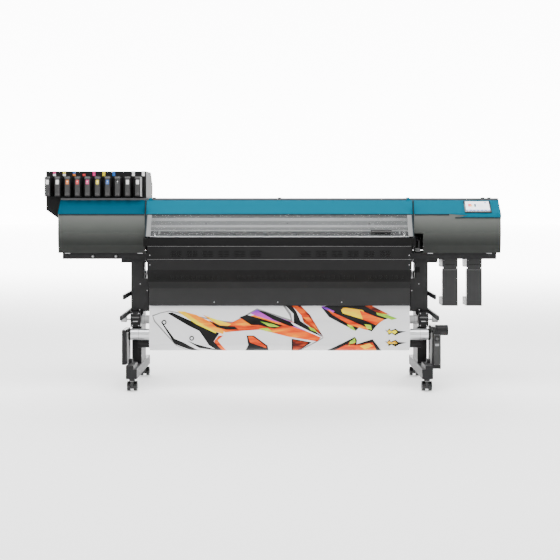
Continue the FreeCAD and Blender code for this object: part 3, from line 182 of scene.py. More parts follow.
looks = {
    "blackSteel": {"colour": (0.009, 0.009, 0.0095), "bump": 0.35, "specular": 0.22},
    "dryerPaint": {"colour": (0.0055, 0.0055, 0.0057), "roughness": 0.42, "grain": 1100, "bump": 0.3,
        "specular": 0.15},
    "blackPlastic": {"colour": (0.007, 0.007, 0.0075), "roughness": 0.42, "grain": 1400, "bump": 0.25,
        "specular": 0.22},
    "legPlastic": {"colour": (0.014, 0.014, 0.0143), "grain": 1200, "bump": 0.3, "specular": 0.2},
    # The side covers' metallic grey, with painted light that makes them lighter towards the top.
    "greyCover": {"colour": (0.015, 0.0165, 0.015), "roughness": 0.36, "grain": 1600, "bump": 0.12, "metallic": 0.4,
        "specular": 0.22, "edge": 2.5, "paintedLightByHeight": (0.89, 1.12, (0.12, 0.127, 0.118))},
    "tealCover": {"colour": (0.0, 0.1, 0.155), "roughness": 0.55, "grain": 1600, "specular": 0.02,
        "variation": 0.05, "edge": 2},
    # The left band's teal, darkened as painted shade from the ink rack.
    "tealPaintedShade": {"colour": (0.0, 0.055, 0.093), "roughness": 0.55, "grain": 1600, "specular": 0.02,
        "variation": 0.05, "edge": 2},
    "roofPlastic": {"colour": (0.05, 0.052, 0.054), "roughness": 0.45, "grain": 1200, "bump": 0.25},
    "rearPanel": {"colour": (0.09, 0.094, 0.094), "grain": 1200, "bump": 0.25},
    "lightFrame": {"colour": (0.13, 0.134, 0.134), "roughness": 0.4, "grain": 1300, "bump": 0.15},
    "brushedBeam": {"colour": (0.62, 0.63, 0.64), "roughness": 0.32, "grain": 500, "bump": 0.15, "metallic": 0.9},
    "rollerSteel": {"colour": (0.45, 0.45, 0.46), "roughness": 0.28, "grain": 800, "metallic": 1},
    "rollerRubber": {"colour": (0.03, 0.03, 0.031), "roughness": 0.7, "bump": 0.3},
    "coreTube": {"colour": (0.42, 0.42, 0.42), "roughness": 0.45, "bump": 0.15},
    "armPaint": {"colour": (0.32, 0.32, 0.32), "roughness": 0.45, "grain": 1100, "bump": 0.2},
    "casterNylon": {"colour": (0.006, 0.006, 0.006), "roughness": 0.25, "grain": 1200, "bump": 0.08,
        "specular": 0.4},
    "bottlePlastic": {"colour": (0.55, 0.55, 0.54), "roughness": 0.38, "grain": 700, "bump": 0.15},
    "screenGlass": {"colour": (0.012, 0.012, 0.014), "roughness": 0.12, "bump": 0.02, "coat": 0.6},
    "drainPaint": {"colour": (0.018, 0.018, 0.0185), "roughness": 0.45, "grain": 1100, "bump": 0.25,
        "specular": 0.28},
    "whiteVinyl": {"colour": (0.64, 0.64, 0.65), "roughness": 0.24, "grain": 260, "bump": 0.04, "variation": 0.03,
        "coat": 0.35, "mottle": 2.5, "edge": 0.2},
    "printBlack": {"colour": (0.003, 0.003, 0.003), "roughness": 0.3, "grain": 260, "bump": 0.04, "specular": 0.15,
        "edge": 0.1},
    "printLine": {"colour": (0.16, 0.16, 0.16), "roughness": 0.25, "grain": 260, "bump": 0.04, "coat": 0.35,
        "edge": 0.1},
    "printWhite": {"colour": (0.68, 0.68, 0.69), "roughness": 0.24, "grain": 260, "bump": 0.04, "coat": 0.35,
        "variation": 0.03, "edge": 0.1},
    # Lit and shaded copies of the dryer's paint: painted shade on the down-facing panel and the top, painted light on
    # the lower panel.
    "dryerPaintedShade": {"colour": (0.003, 0.003, 0.003), "grain": 1100, "bump": 0.3, "specular": 0.1},
    "dryerPaintedLight": {"colour": (0.012, 0.012, 0.0122), "roughness": 0.42, "grain": 1100, "bump": 0.3,
        "specular": 0.2},
    "dryerTopPaintedShade": {"colour": (0.0025, 0.0025, 0.0026), "roughness": 0.55, "grain": 1100, "bump": 0.3,
        "specular": 0.05},
    # Flat greys for the carriage beam's brushed metal, in bands of painted reflection and painted shade; the second is
    # painted shade on the feed guard, and the last also colours the guard's rib and the tension bar's collars.
    "beamPaintedShade": {"colour": (0.09, 0.09, 0.09), "specular": 0.2, "grain": 700},
    "beamShade": {"colour": (0.1, 0.1, 0.1), "specular": 0.2, "grain": 700},
    "beamPaintedHighlight": {"colour": (0.9, 0.9, 0.9), "specular": 0.2, "grain": 700, "bump": 0.05},
    "beamMid": {"colour": (0.36, 0.36, 0.36), "specular": 0.2, "grain": 700},
    # Near-black for the roof's seams and the cover's end gaskets, and for painted shadow under the bands and painted
    # shade beside the front cover.
    "seamAndShadeBlack": {"colour": (0.004, 0.012, 0.016), "specular": 0.2},
    # A bright grey for the painted highlights on the dryer's bends, and for the lips of the drain holders.
    "edgeBright": {"colour": (0.1, 0.1, 0.1), "roughness": 0.3, "metallic": 0.3},
    "cartridgeCap": {"colour": (0.06, 0.06, 0.06), "roughness": 0.35, "specular": 0.3, "grain": 1300, "bump": 0.15,
        "edge": 0.5},
    "cartridgeFace": {"colour": (0.035, 0.035, 0.035), "roughness": 0.4, "specular": 0.25, "grain": 1300,
        "bump": 0.2, "edge": 0.5},
    "socketBlack": {"colour": (0.003, 0.003, 0.003), "specular": 0.12, "grain": 1200, "bump": 0.2, "edge": 0.5},
    "knobSteel": {"colour": (0.14, 0.14, 0.14), "roughness": 0.35, "grain": 1000, "metallic": 0.7, "edge": 0.5},
    "rackPlastic": {"colour": (0.012, 0.012, 0.0122), "roughness": 0.6, "grain": 1300, "bump": 0.3,
        "specular": 0.06},
    "rolledVinyl": {"colour": (0.7, 0.7, 0.7), "roughness": 0.35, "grain": 500},
}
finish = {name: paintedSurface(name, look) for name, look in looks.items()}

# The clear acrylic window, with faint smears in its gloss.
pane = {"alpha": 0.05, "specular": 0.25, "bend": 1.49, "glossLow": 0.03, "glossHigh": 0.09,
        "tints": [(0.5, 0.52, 0.53), (0.6, 0.62, 0.63)]}


def clearPane(name):
    material, tree, shader, coords = startMaterial(name)
    smear = noise(tree, coords, 3, 5)
    fill(tree, shader, {
        "Roughness": between(tree, smear, pane["glossLow"], pane["glossHigh"]),
        "Base Color": mixTwo(tree, smear, rgb(*pane["tints"][0]), rgb(*pane["tints"][1])),
        "Alpha": pane["alpha"], "Specular IOR Level": pane["specular"], "IOR": pane["bend"]})
    return material


finish["windowPane"] = clearPane("windowPane")

# Printed labels: a satin film in each ink's colour.
inks = {
    "labelWhite": (0.78, 0.78, 0.78), "labelGrey": (0.25, 0.25, 0.26), "labelOrange": (0.62, 0.15, 0.0),
    "labelRed": (0.55, 0.02, 0.02), "labelPink": (0.58, 0.02, 0.16), "labelYellow": (0.68, 0.55, 0.0),
    "labelBlue": (0.0, 0.09, 0.36), "labelBlack": (0.006, 0.006, 0.006),
}
labelFilm = {"roughness": 0.35, "grain": 900, "bump": 0.05, "variation": 0.05, "edge": 0.2}
for name, colour in inks.items():
    finish[name] = paintedSurface(name, {"colour": colour, **labelFilm})

# Printed streaks: stretched noise sets where each colour falls, as (place on the ramp, colour).
blends = {
    "printFlame": {"scale": 6, "stretch": 6, "stops": [
        (0.3, (0.25, 0.008, 0.002)), (0.72, (0.8, 0.34, 0.0)), (0.45, (0.62, 0.05, 0.0)),
        (0.58, (0.72, 0.12, 0.0))]},
    "printOrange": {"scale": 6, "stretch": 6, "stops": [(0.35, (0.65, 0.07, 0.0)), (0.65, (0.8, 0.34, 0.0))]},
    "printYellow": {"scale": 6, "stretch": 6, "stops": [(0.35, (0.8, 0.36, 0.0)), (0.65, (0.7, 0.62, 0.0))]},
    "printEmber": {"scale": 9, "stretch": 4, "stops": [
        (0.4, (0.05, 0.004, 0.003)), (0.75, (0.8, 0.16, 0.01)), (0.55, (0.35, 0.03, 0.004))]},
    "printPurple": {"scale": 6, "stretch": 6, "stops": [(0.35, (0.09, 0.02, 0.4)), (0.65, (0.45, 0.05, 0.4))]},
    "printLime": {"scale": 12, "stretch": 4, "stops": [(0.35, (0.16, 0.38, 0.02)), (0.65, (0.6, 0.66, 0.03))]},
}
streak = {"turn": -32, "dots": 900, "bump": 0.04, "bumpHeight": 0.0004, "roughness": 0.3, "specular": 0.15}


def inkBlend(name, blend):
    material, tree, shader, coords = startMaterial(name)
    mapping = addNode(tree, "ShaderNodeMapping", {
        "Vector": coords, "Rotation": (0, math.radians(streak["turn"]), 0), "Scale": (1, 1, blend["stretch"])})
    streaks = noise(tree, mapping.outputs["Vector"], blend["scale"], 3)
    ramp = addNode(tree, "ShaderNodeValToRGB", {"Fac": streaks})
    colours = ramp.color_ramp
    colours.interpolation = "LINEAR"
    for index, (position, colour) in enumerate(blend["stops"]):
        stop = colours.elements[index] if index < 2 else colours.elements.new(position)
        stop.position, stop.color = position, rgb(*colour)
    bump = addNode(tree, "ShaderNodeBump", {
        "Strength": streak["bump"], "Distance": streak["bumpHeight"],
        "Height": noise(tree, coords, streak["dots"], 2)})
    fill(tree, shader, {
        "Base Color": ramp.outputs["Color"], "Normal": bump.outputs["Normal"],
        "Roughness": streak["roughness"], "Specular IOR Level": streak["specular"]})
    return material


for name, blend in blends.items():
    finish[name] = inkBlend(name, blend)

# Lit display colours under glass, a little uneven like a backlight.
screenColours = {
    "screenWhite": (0.85, 0.87, 0.92), "screenBlue": (0.06, 0.14, 0.5), "screenRed": (0.75, 0.06, 0.08),
    "screenOrange": (0.9, 0.4, 0.08), "screenNavy": (0.03, 0.05, 0.14), "screenGreen": (0.3, 0.6, 0.15),
    "screenGrey": (0.45, 0.48, 0.55),
}
backlight = {"strength": 0.5, "dip": 0.92, "scale": 14, "roughness": 0.12}


def glowing(name, colour):
    material, tree, shader, coords = startMaterial(name)
    uneven = noise(tree, coords, backlight["scale"], 2)
    tint = mixTwo(tree, uneven, rgb(*(channel * backlight["dip"] for channel in colour)), rgb(*colour))
    fill(tree, shader, {
        "Base Color": tint, "Emission Color": tint,
        "Emission Strength": backlight["strength"], "Roughness": backlight["roughness"]})
    return material


for name, colour in screenColours.items():
    finish[name] = glowing(name, colour)

# Which CAD nodes wear which finish; casters are nylon and the rest black plastic.
cadFinish = {
    "blackSteel": "stand_legs stand_feet stand_crossbars chassis_pan rear_apron side_hooks supply_brackets",
    "legPlastic": "leg_covers", "greyCover": "side_cover_left side_cover_right", "tealPaintedShade": "top_band_left",
    "tealCover": "top_band_right cover_band", "roofPlastic": "roof_cover", "rearPanel": "rear_cover",
    "screenGlass": "touch_panel", "brushedBeam": "platen guide_beam tension_bar",
    "socketBlack": "dryer_housing", "rackPlastic": "ink_rack ink_rack_bracket", "drainPaint": "drain_holders",
    "bottlePlastic": "drain_bottles", "rolledVinyl": "media_sheet supply_roll", "windowPane": "cover_window",
    "lightFrame": "cover_ends", "rollerSteel": "grit_rollers supply_shaft", "rollerRubber": "pinch_rollers",
    "coreTube": "takeup_core", "armPaint": "dancer_arms",
}
wears = {node: look for look, nodes in cadFinish.items() for node in nodes.split()}
for node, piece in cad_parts.items():
    piece.data.materials.clear()
    plain = "casterNylon" if node.startswith("caster") else "blackPlastic"
    piece.data.materials.append(finish[wears.get(node, plain)])
print("materials on the CAD nodes")


# Modelling helpers, in millimetres from the middle of the stand.
def place(x, y, z):
    return Vector((standX + x * mm, standY + y * mm, z * mm))


def local(point):
    return ((point.x - standX) / mm, (point.y - standY) / mm, point.z / mm)


def span(node):
    # Lowest and highest corners of a CAD node.
    return [local(corner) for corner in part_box(node)]


def startClean():
    if bpy.context.object and bpy.context.object.mode != "OBJECT":
        bpy.ops.object.mode_set(mode="OBJECT")
    bpy.ops.object.select_all(action="DESELECT")


def only(piece):
    startClean()
    piece.select_set(True)
    bpy.context.view_layer.objects.active = piece


def settle():
    bpy.ops.object.transform_apply(location=True, rotation=True, scale=True)
    return bpy.context.object


def paint(piece, look):
    piece.data.materials.clear()
    piece.data.materials.append(finish[look])
    return piece


def applyModifier(piece, kind, settings):
    only(piece)
    modifier = piece.modifiers.new(kind.lower(), kind)
    for key, value in settings.items():
        setattr(modifier, key, value)
    bpy.ops.object.modifier_apply(modifier=modifier.name)
    return piece


def rounded(piece, width, segments=2, angle=35):
    return applyModifier(piece, "BEVEL", {
        "width": width * mm, "segments": segments, "limit_method": "ANGLE",
        "angle_limit": math.radians(angle), "harden_normals": False})


def block(x, y, z, look=None, edge=0, segments=2):
    # A block between two x, two y and two z values, with its edges rounded.
    startClean()
    low, high = place(x[0], y[0], z[0]), place(x[1], y[1], z[1])
    bpy.ops.mesh.primitive_cube_add(size=1, location=(low + high) / 2, scale=high - low)
    made = settle()
    if edge:
        rounded(made, edge, segments)
    return paint(made, look) if look else made


axisTurns = {"x": (0, quarter, 0), "y": (quarter, 0, 0), "z": (0, 0, 0)}


def rod(axis, radius, reach, centre, look=None, edge=0, sides=32):
    # reach is along the axis, centre gives the two other coordinates in x, y, z order.
    spot = list(centre)
    spot.insert("xyz".index(axis), (reach[0] + reach[1]) / 2)
    startClean()
    bpy.ops.mesh.primitive_cone_add(
        vertices=sides, radius1=radius * mm, radius2=radius * mm, depth=(reach[1] - reach[0]) * mm,
        location=place(*spot), rotation=axisTurns[axis])
    made = settle()
    if edge:
        rounded(made, edge)
    return paint(made, look) if look else made


def outwards(side, start, end):
    # A reach along x from start to end, on the left or right side of the machine.
    return sorted((side * start, side * end))


def around(middle, half):
    return (middle - half, middle + half)


def pick(piece, kind, test):
    # Enters edit mode with the edges or faces that pass the test selected.
    only(piece)
    bpy.ops.object.mode_set(mode="EDIT")
    bpy.ops.mesh.select_mode(type={"edges": "EDGE", "faces": "FACE"}[kind])
    bpy.ops.mesh.select_all(action="DESELECT")
    shape = bmesh.from_edit_mesh(piece.data)
    for part in getattr(shape, kind):
        if test(part):
            part.select_set(True)
    shape.select_flush_mode()
    bmesh.update_edit_mesh(piece.data)


def leave():
    bpy.ops.object.mode_set(mode="OBJECT")


def strip(path, halfWidth, look=None, middle=0):
    # A band across the machine that follows a line of (y, z) points.
    startClean()
    (y0, z0), (y1, z1) = path[0], path[1]
    bpy.ops.mesh.primitive_plane_add(
        size=1, location=place(middle, (y0 + y1) / 2, (z0 + z1) / 2),
        rotation=(math.atan2(z1 - z0, y1 - y0), 0, 0))
    made = bpy.context.object
    made.scale = (2 * halfWidth * mm, math.hypot(y1 - y0, z1 - z0) * mm, 1)
    settle()
    far = place(middle, y1, z1)
    pick(made, "edges", lambda edge: all(
        abs(v.co.y - far.y) < 1e-5 and abs(v.co.z - far.z) < 1e-5 for v in edge.verts))
    for (ya, za), (yb, zb) in zip(path[1:-1], path[2:]):
        bpy.ops.mesh.extrude_region_move(
            TRANSFORM_OT_translate={"value": (0, (yb - ya) * mm, (zb - za) * mm)})
    leave()
    return paint(made, look) if look else made


def joined(parts):
    startClean()
    for part in parts:
        part.select_set(True)
    bpy.context.view_layer.objects.active = parts[0]
    if len(parts) > 1:
        bpy.ops.object.join()
    return bpy.context.object


def carved(piece, cutters):
    tool = joined(cutters)
    applyModifier(piece, "BOOLEAN", {
        "operation": "DIFFERENCE", "solver": "EXACT", "object": tool, "use_self": False})
    bpy.data.objects.remove(tool)
    return piece


def copied(piece, x=0, y=0, z=0):
    only(piece)
    bpy.ops.object.duplicate()
    bpy.ops.transform.translate(value=(x * mm, y * mm, z * mm))
    return settle()


def spread(first, spots):
    # first stands at the first of the spots, and a copy of it goes to each other one.
    start = spots[0]
    return [first] + [
        copied(first, *(now - then for now, then in zip(spot, start))) for spot in spots[1:]]


def finished(parts, name, body, angle=35):
    piece = joined(parts if isinstance(parts, list) else [parts])
    only(piece)
    bpy.ops.object.shade_smooth_by_angle(angle=math.radians(angle))
    piece.name = piece.data.name = name
    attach(piece, body)
    return piece


screw = {"proud": 2, "edge": 0.6, "sides": 20, "socket": 0.45, "socketDepth": 1}


def screws(name, body, spots, radius=4, look="rollerSteel"):
    # Pan heads with a hexagon socket, seen from the front: one is modelled and copied.
    x, y, z = spots[0]
    head = rod("y", radius, (y - screw["proud"], y), (x, z), edge=screw["edge"], sides=screw["sides"])
    socket = rod("y", radius * screw["socket"], (y - screw["proud"] - screw["edge"], y - screw["socketDepth"]),
                 (x, z), sides=6)
    return finished(spread(paint(carved(head, [socket]), look), spots), name, body, 40)


def bent(corners, radii, pace=7):
    # The corners of a line, with an arc of the given radius at each inner corner.
    line = [Vector(corners[0])]
    for before, corner, after, radius in zip(corners, corners[1:], corners[2:], radii):
        here = Vector(corner)
        back, on = (Vector(before) - here).normalized(), (Vector(after) - here).normalized()
        half = back.angle(on) / 2
        centre = here + (back + on).normalized() * radius / math.sin(half)
        arm = here + back * radius / math.tan(half) - centre
        turn = math.pi - 2 * half
        side = 1 if arm.y * back.x - arm.x * back.y > 0 else -1
        steps = max(2, math.ceil(math.degrees(turn) / pace))
        for index in range(steps + 1):
            angle = side * turn * index / steps
            line.append(centre + Vector((
                arm.x * math.cos(angle) - arm.y * math.sin(angle),
                arm.x * math.sin(angle) + arm.y * math.cos(angle))))
    line.append(Vector(corners[-1]))
    return [tuple(point) for point in line]


# The vinyl, from the supply roll to the take-up core, as (y, z) corners and the radius at each inner one.
web = {
    "halfWidth": 812.5, "thickness": 0.4, "clear": 0.25,
    "corners": [(375.3, 690), (375.3, 955.3), (-226, 955.3), (-226, 523), (-257, 430), (-257, 239),
                (-82.7, 239), (-82.7, 451.3), (-137.3, 451.3), (-137.3, 396.7), (-110, 396.7)],
    "bends": [110, 20, 150, 150, 60, 60, 27.3, 27.3, 27.2],
    "frontSide": -197.5, "loopFront": -257, "flat": (1.625, 1.9677),
}
webLine = bent(web["corners"], web["bends"])
media = strip(webLine, web["halfWidth"], "whiteVinyl")
applyModifier(media, "SOLIDIFY", {"thickness": web["thickness"] * mm, "offset": -1})
media = finished(media, "mediaWeb", "machine", 60)
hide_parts("media_sheet")
print("media sheet:", len(webLine), "points")


def webFront(z):
    # How far forward the hanging front of the web is at a height.
    for (ya, za), (yb, zb) in zip(webLine, webLine[1:]):
        if za >= z >= zb and ya < web["frontSide"]:
            return ya + (yb - ya) * (za - z) / max(za - zb, 1e-6)
    return web["loopFront"]


# Shapes printed on the web: a look, then its outline in x and hundredths of the way down the loop.
motifs = [
    ("printLine", [(-795, 21), (-745, 15), (-690, 11), (-350, 33), (-290, 35), (-140, 6), (70, 30), (60, 20),
        (20, 0), (36, 0), (72, 17), (82, 36), (190, 52), (275, 70), (240, 78), (160, 93), (130, 100), (120, 100),
        (152, 92), (240, 75), (268, 70), (186, 54), (76, 36), (-140, 10), (-288, 38), (-352, 36), (-690, 13),
        (-745, 17), (-788, 23), (-775, 33), (-640, 86), (-560, 100), (-570, 100), (-648, 87), (-783, 34)]),
    ("printBlack", [(-703, 16), (-670, 15), (-375, 60), (-410, 78), (-340, 100), (-385, 100), (-440, 86),
        (-500, 55), (-560, 45)]),
    ("printBlack", [(-740, 35), (-735, 34), (-655, 72), (-600, 80), (-500, 100), (-545, 100), (-655, 83)]),
    ("printBlack", [(-575, 76), (-520, 84), (-390, 97), (-385, 100), (-500, 93)]),
    ("printYellow", [(-640, 12), (-590, 13), (-490, 33), (-380, 53), (-400, 60), (-520, 40)]),
    ("printOrange", [(-590, 14), (-520, 20), (-340, 50), (-352, 62), (-400, 56), (-500, 36)]),
    ("printFlame", [(-480, 20), (-440, 25), (-360, 35), (-300, 37), (-235, 27), (-100, 16), (90, 36), (262, 68),
        (236, 78), (60, 68), (-120, 52), (-250, 55), (-340, 58), (-372, 46)]),
    ("printYellow", [(-470, 21), (-430, 26), (-300, 40), (-330, 46), (-380, 42)]),
    ("printBlack", [(-445, 31), (-370, 43), (-280, 45), (-255, 52), (-330, 52), (-390, 47)]),
    ("printFlame", [(-380, 66), (-350, 65), (-385, 76), (-330, 100), (-355, 100), (-408, 78)]),
    ("printPurple", [(-185, 17), (-140, 9), (60, 33), (210, 58), (200, 60), (40, 40), (-100, 27)]),
    ("printBlack", [(-250, 25), (-205, 20), (-110, 29), (20, 43), (-30, 50), (-130, 42), (-175, 42)]),
    ("printBlack", [(-140, 10), (-95, 13), (75, 36), (140, 47), (60, 44), (-40, 30)]),
    ("printLime", [(-120, 34), (-40, 40), (0, 46), (-60, 46)]),
    ("printLime", [(-130, 50), (-75, 48), (-40, 57), (-90, 55)]),
    ("printWhite", [(70, 36), (100, 38), (270, 69), (262, 70), (90, 43)]),
    ("printBlack", [(36, 0), (76, 0), (105, 13), (130, 33), (200, 50), (268, 68), (190, 56), (90, 38), (88, 18)]),
    ("printEmber", [(60, 0), (132, 0), (190, 20), (275, 69), (215, 52), (150, 36), (128, 12)]),
    ("printFlame", [(76, 0), (112, 0), (180, 22), (245, 55), (160, 30)]),
    ("printLime", [(180, 45), (215, 50), (235, 58), (195, 53)]),
    ("printBlack", [(-205, 65), (-160, 65), (-75, 87), (-68, 100), (-215, 100), (-195, 86)]),
    ("printFlame", [(-196, 67), (-165, 67), (-85, 88), (-82, 93), (-185, 80)]),
    ("printBlack", [(76, 72), (200, 80), (150, 92), (120, 100), (76, 100)]),
    ("printEmber", [(84, 74), (180, 81), (140, 92), (112, 100), (84, 100)]),
    ("printBlack", [(262, 4), (300, 0), (560, 0), (700, 25), (640, 32), (600, 45), (575, 56), (500, 46), (475, 55),
        (310, 25)]),
    ("printPurple", [(258, 3), (278, 1), (345, 13), (330, 16)]),
    ("printFlame", [(290, 6), (340, 16), (470, 36), (560, 50), (545, 53), (440, 42), (330, 20)]),
    ("printYellow", [(385, 10), (400, 4), (520, 10), (545, 20), (520, 30), (470, 25), (395, 17)]),
    ("printFlame", [(500, 10), (600, 24), (655, 30), (600, 42), (520, 30)]),
    ("printLime", [(600, 10), (735, 28), (700, 31), (610, 20)]),
    ("printEmber", [(530, 0), (575, 0), (690, 20), (610, 16)]),
    ("printLime", [(420, 40), (455, 44), (475, 55), (440, 50)]),
    ("printLime", [(530, 40), (570, 42), (575, 52), (545, 50)]),
    ("printBlack", [(305, 97), (470, 68), (482, 75), (480, 84), (580, 73), (640, 100), (300, 100)]),
    ("printFlame", [(345, 98), (470, 74), (470, 86), (580, 80), (610, 100), (350, 100)]),
    ("printLime", [(440, 78), (470, 71), (474, 80), (430, 87)]),
    ("printYellow", [(500, 88), (560, 82), (585, 88), (530, 95)]),
]
# Two small bursts of flame, one above the other, each an outline with a yellow heart.
burst = [
    ("printBlack", [(656, 52), (672, 55), (684, 49), (694, 54), (724, 50), (740, 55), (790, 56), (744, 60),
        (722, 65), (700, 60), (680, 64), (676, 59)]),
    ("printYellow", [(672, 56), (684, 52), (696, 56), (722, 53), (734, 57), (718, 62), (700, 58), (682, 61)]),
]
for drop in (0, 24.5):
    for look, outline in burst:
        motifs.append((look, [(x, share + drop) for x, share in outline]))

graphic = {"top": 523, "bottom": 239.5, "layer": 0.05, "rows": 26, "probe": 0.5, "underside": 2, "ahead": -400}
hang = graphic["top"] - graphic["bottom"]


def motifSheet(order, look, outline):
    # A flat shape laid on the web: a filled ring of points that is sliced so that it can follow the bend.
    startClean()
    bpy.ops.mesh.primitive_circle_add(vertices=len(outline), radius=0.01, fill_type="NGON")
    made = settle()
    for corner, (x, share) in zip(made.data.vertices, outline):
        corner.co = place(x, graphic["ahead"], graphic["top"] - hang * share / 100)
    made.data.update()
    heights = [corner.co.z for corner in made.data.vertices]
    pick(made, "faces", lambda face: True)
    for row in range(1, graphic["rows"]):
        # The rows crowd together where the web turns under.
        height = (graphic["top"] - hang * math.sin(quarter * row / graphic["rows"])) * mm
        if min(heights) < height < max(heights):
            bpy.ops.mesh.select_all(action="SELECT")
            bpy.ops.mesh.bisect(plane_co=(0, 0, height), plane_no=(0, 0, 1))
    leave()
    lift = web["thickness"] + web["clear"] + graphic["layer"] * order
    for corner in made.data.vertices:
        z = corner.co.z / mm
        normal = Vector((-1, webFront(z + graphic["probe"]) - webFront(z - graphic["probe"])))
        if z <= graphic["bottom"] + graphic["underside"]:
            normal = Vector((-0.1, -1))
        normal.normalize()
        corner.co.y = standY + (webFront(z) + normal.x * lift) * mm
        corner.co.z = (z + normal.y * lift) * mm
    only(made)
    bpy.ops.object.mode_set(mode="EDIT")
    bpy.ops.mesh.select_all(action="SELECT")
    bpy.ops.mesh.quads_convert_to_tris()
    leave()
    made.data.update()
    average = sum((face.normal * face.area for face in made.data.polygons), Vector())
    if average.y > 0:
        made.data.flip_normals()
    return paint(made, look)


shapes = [motifSheet(index, look, outline) for index, (look, outline) in enumerate(motifs)]
rings = {"spots": [(-719, 36), (-547, 71)], "sides": 24, "discs": [(15, "printBlack"), (8, "printWhite")]}
for x, share in rings["spots"]:
    for radius, look in rings["discs"]:
        turns = [2 * math.pi * step / rings["sides"] for step in range(rings["sides"])]
        shapes.append(motifSheet(len(shapes), look, [
            (x + radius * math.cos(turn), share + 100 * radius * math.sin(turn) / hang) for turn in turns]))
graphics = finished(shapes, "mediaGraphics", "machine", 60)
print("printed graphics:", len(shapes), "shapes")

# The dryer's painted skin, carved with its vents; each zone is a look and the heights it covers: painted shade on the
# down-facing panel and on the top, painted light on the lower panel.
dryer = {
    "halfWidth": 814, "skin": 2, "stand": 3, "bend": 3,
    "profile": [(-232, 949), (-290, 949), (-330, 897), (-345, 817), (-335, 752), (-285, 677), (-247, 635),
                (-242, 523)],
    "upperVents": [-636, -538, -441, -343, -245, -147, 160, 259, 356, 454, 551, 651],
    "upperRows": [(833, 839), (843, 849), (853, 859), (863, 869)],
    "upperSlot": {"offset": 17.5, "half": 15, "reach": (-360, -325)},
    "lowerVents": [(-770, -736), (-678, -330), (-269, 67), (129, 472), (540, 770)],
    "lowerSlot": {"pitch": 32, "half": 9, "reach": (-345, -285), "heights": (695, 717)},
    "paintedLightZones": [("dryerPaintedShade", 678, 751), ("dryerPaintedLight", 500, 634), ("dryerTopPaintedShade", 898, 960)],
    "screws": {"x": 798, "heights": (843, 784), "lowX": (-408, -11, 388), "low": 546, "radius": 3.4},
    "bendHighlights": {"half": 812, "heights": (897, 817)},
}


def outset(profile, distance):
    # Pushes a (y, z) line forwards by a distance, square to each run.
    moved = []
    for index, point in enumerate(profile):
        here = Vector(point)
        before = Vector(profile[max(index - 1, 0)])
        after = Vector(profile[min(index + 1, len(profile) - 1)])
        normals = [Vector((run.y, -run.x)).normalized() for run in (here - before, after - here) if run.length > 0]
        mean = sum(normals, Vector((0, 0))).normalized()
        moved.append(tuple(here + mean * distance / max(mean.dot(normals[0]), 0.3)))
    return moved


dryerLine = outset(dryer["profile"], dryer["stand"])


def dryerFront(z):
    for (ya, za), (yb, zb) in zip(dryerLine[1:], dryerLine[2:]):
        if za >= z >= zb:
            return ya + (yb - ya) * (za - z) / (za - zb)
    return dryerLine[-1][0]


skin = strip(dryerLine, dryer["halfWidth"], "dryerPaint")
applyModifier(skin, "SOLIDIFY", {"thickness": dryer["skin"] * mm, "offset": 1})
rounded(skin, dryer["bend"], 3, 12)
slot = dryer["upperSlot"]
cutters = [block(around(x + side * slot["offset"], slot["half"]), slot["reach"], row)
           for x in dryer["upperVents"] for side in (-1, 1) for row in dryer["upperRows"]]
slot = dryer["lowerSlot"]
for low, high in dryer["lowerVents"]:
    count = max(1, round((high - low) / slot["pitch"]))
    for index in range(count):
        middle = low + (index + 0.5) * (high - low) / count
        cutters.append(block(around(middle, slot["half"]), slot["reach"], slot["heights"]))
carved(skin, cutters)
# Painted light and shade: each zone's faces take that zone's copy of the paint.
for number, (look, low, high) in enumerate(dryer["paintedLightZones"], 1):
    skin.data.materials.append(finish[look])
    for face in skin.data.polygons:
        if low * mm < face.center.z < high * mm:
            face.material_index = number
finished(skin, "dryerSkin", "machine", 30)
print("dryer skin carved:", len(cutters), "vents")

fixing = dryer["screws"]
spots = [(side * fixing["x"], dryerFront(z), z) for side in (-1, 1) for z in fixing["heights"]]
spots += [(x, dryerFront(fixing["low"]), fixing["low"]) for x in fixing["lowX"]]
screws("dryerScrews", "machine", spots, fixing["radius"])
# Painted highlights: bright strips along the skin's two bends, where light catches them.
bendHighlights = [block(around(0, dryer["bendHighlights"]["half"]), (dryerFront(z) - 1.2, dryerFront(z) + 2), (z - 1, z + 1.4),
              "edgeBright", 0.5) for z in dryer["bendHighlights"]["heights"]]
finished(bendHighlights, "dryerBendHighlights", "machine")


def slopeOf(node):
    # Middle, outward normal and upward direction of a node's largest face that looks forwards.
    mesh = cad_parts[node].data
    groups = {}
    for face in mesh.polygons:
        if face.normal.y < -0.3:
            groups.setdefault(tuple(round(value, 2) for value in face.normal), []).append(face)
    faces = max(groups.values(), key=lambda members: sum(face.area for face in members))
    corners = [mesh.vertices[index].co for face in faces for index in face.vertices]
    low = Vector(min(corner[axis] for corner in corners) for axis in range(3))
    high = Vector(max(corner[axis] for corner in corners) for axis in range(3))
    normal = faces[0].normal.copy()
    return (low + high) / 2, normal, Vector((0, normal.z, -normal.y))


panelMiddle, panelNormal, panelUp = slopeOf("touch_panel")
if panelUp.z < 0:
    panelUp.negate()
panelTilt = math.atan2(panelUp.z, panelUp.y)


def onPanel(x, z, width, height, lift, look, thick=0.6, edge=0):
    # A thin tile on the panel: x and z from its middle, along the panel.
    startClean()
    spot = panelMiddle + Vector((x * mm, 0, 0)) + panelUp * z * mm + panelNormal * lift * mm
    bpy.ops.mesh.primitive_cube_add(
        size=1, location=spot, rotation=(panelTilt, 0, 0), scale=(width * mm, height * mm, thick * mm))
    made = settle()
    if edge:
        rounded(made, edge)
    return paint(made, look)


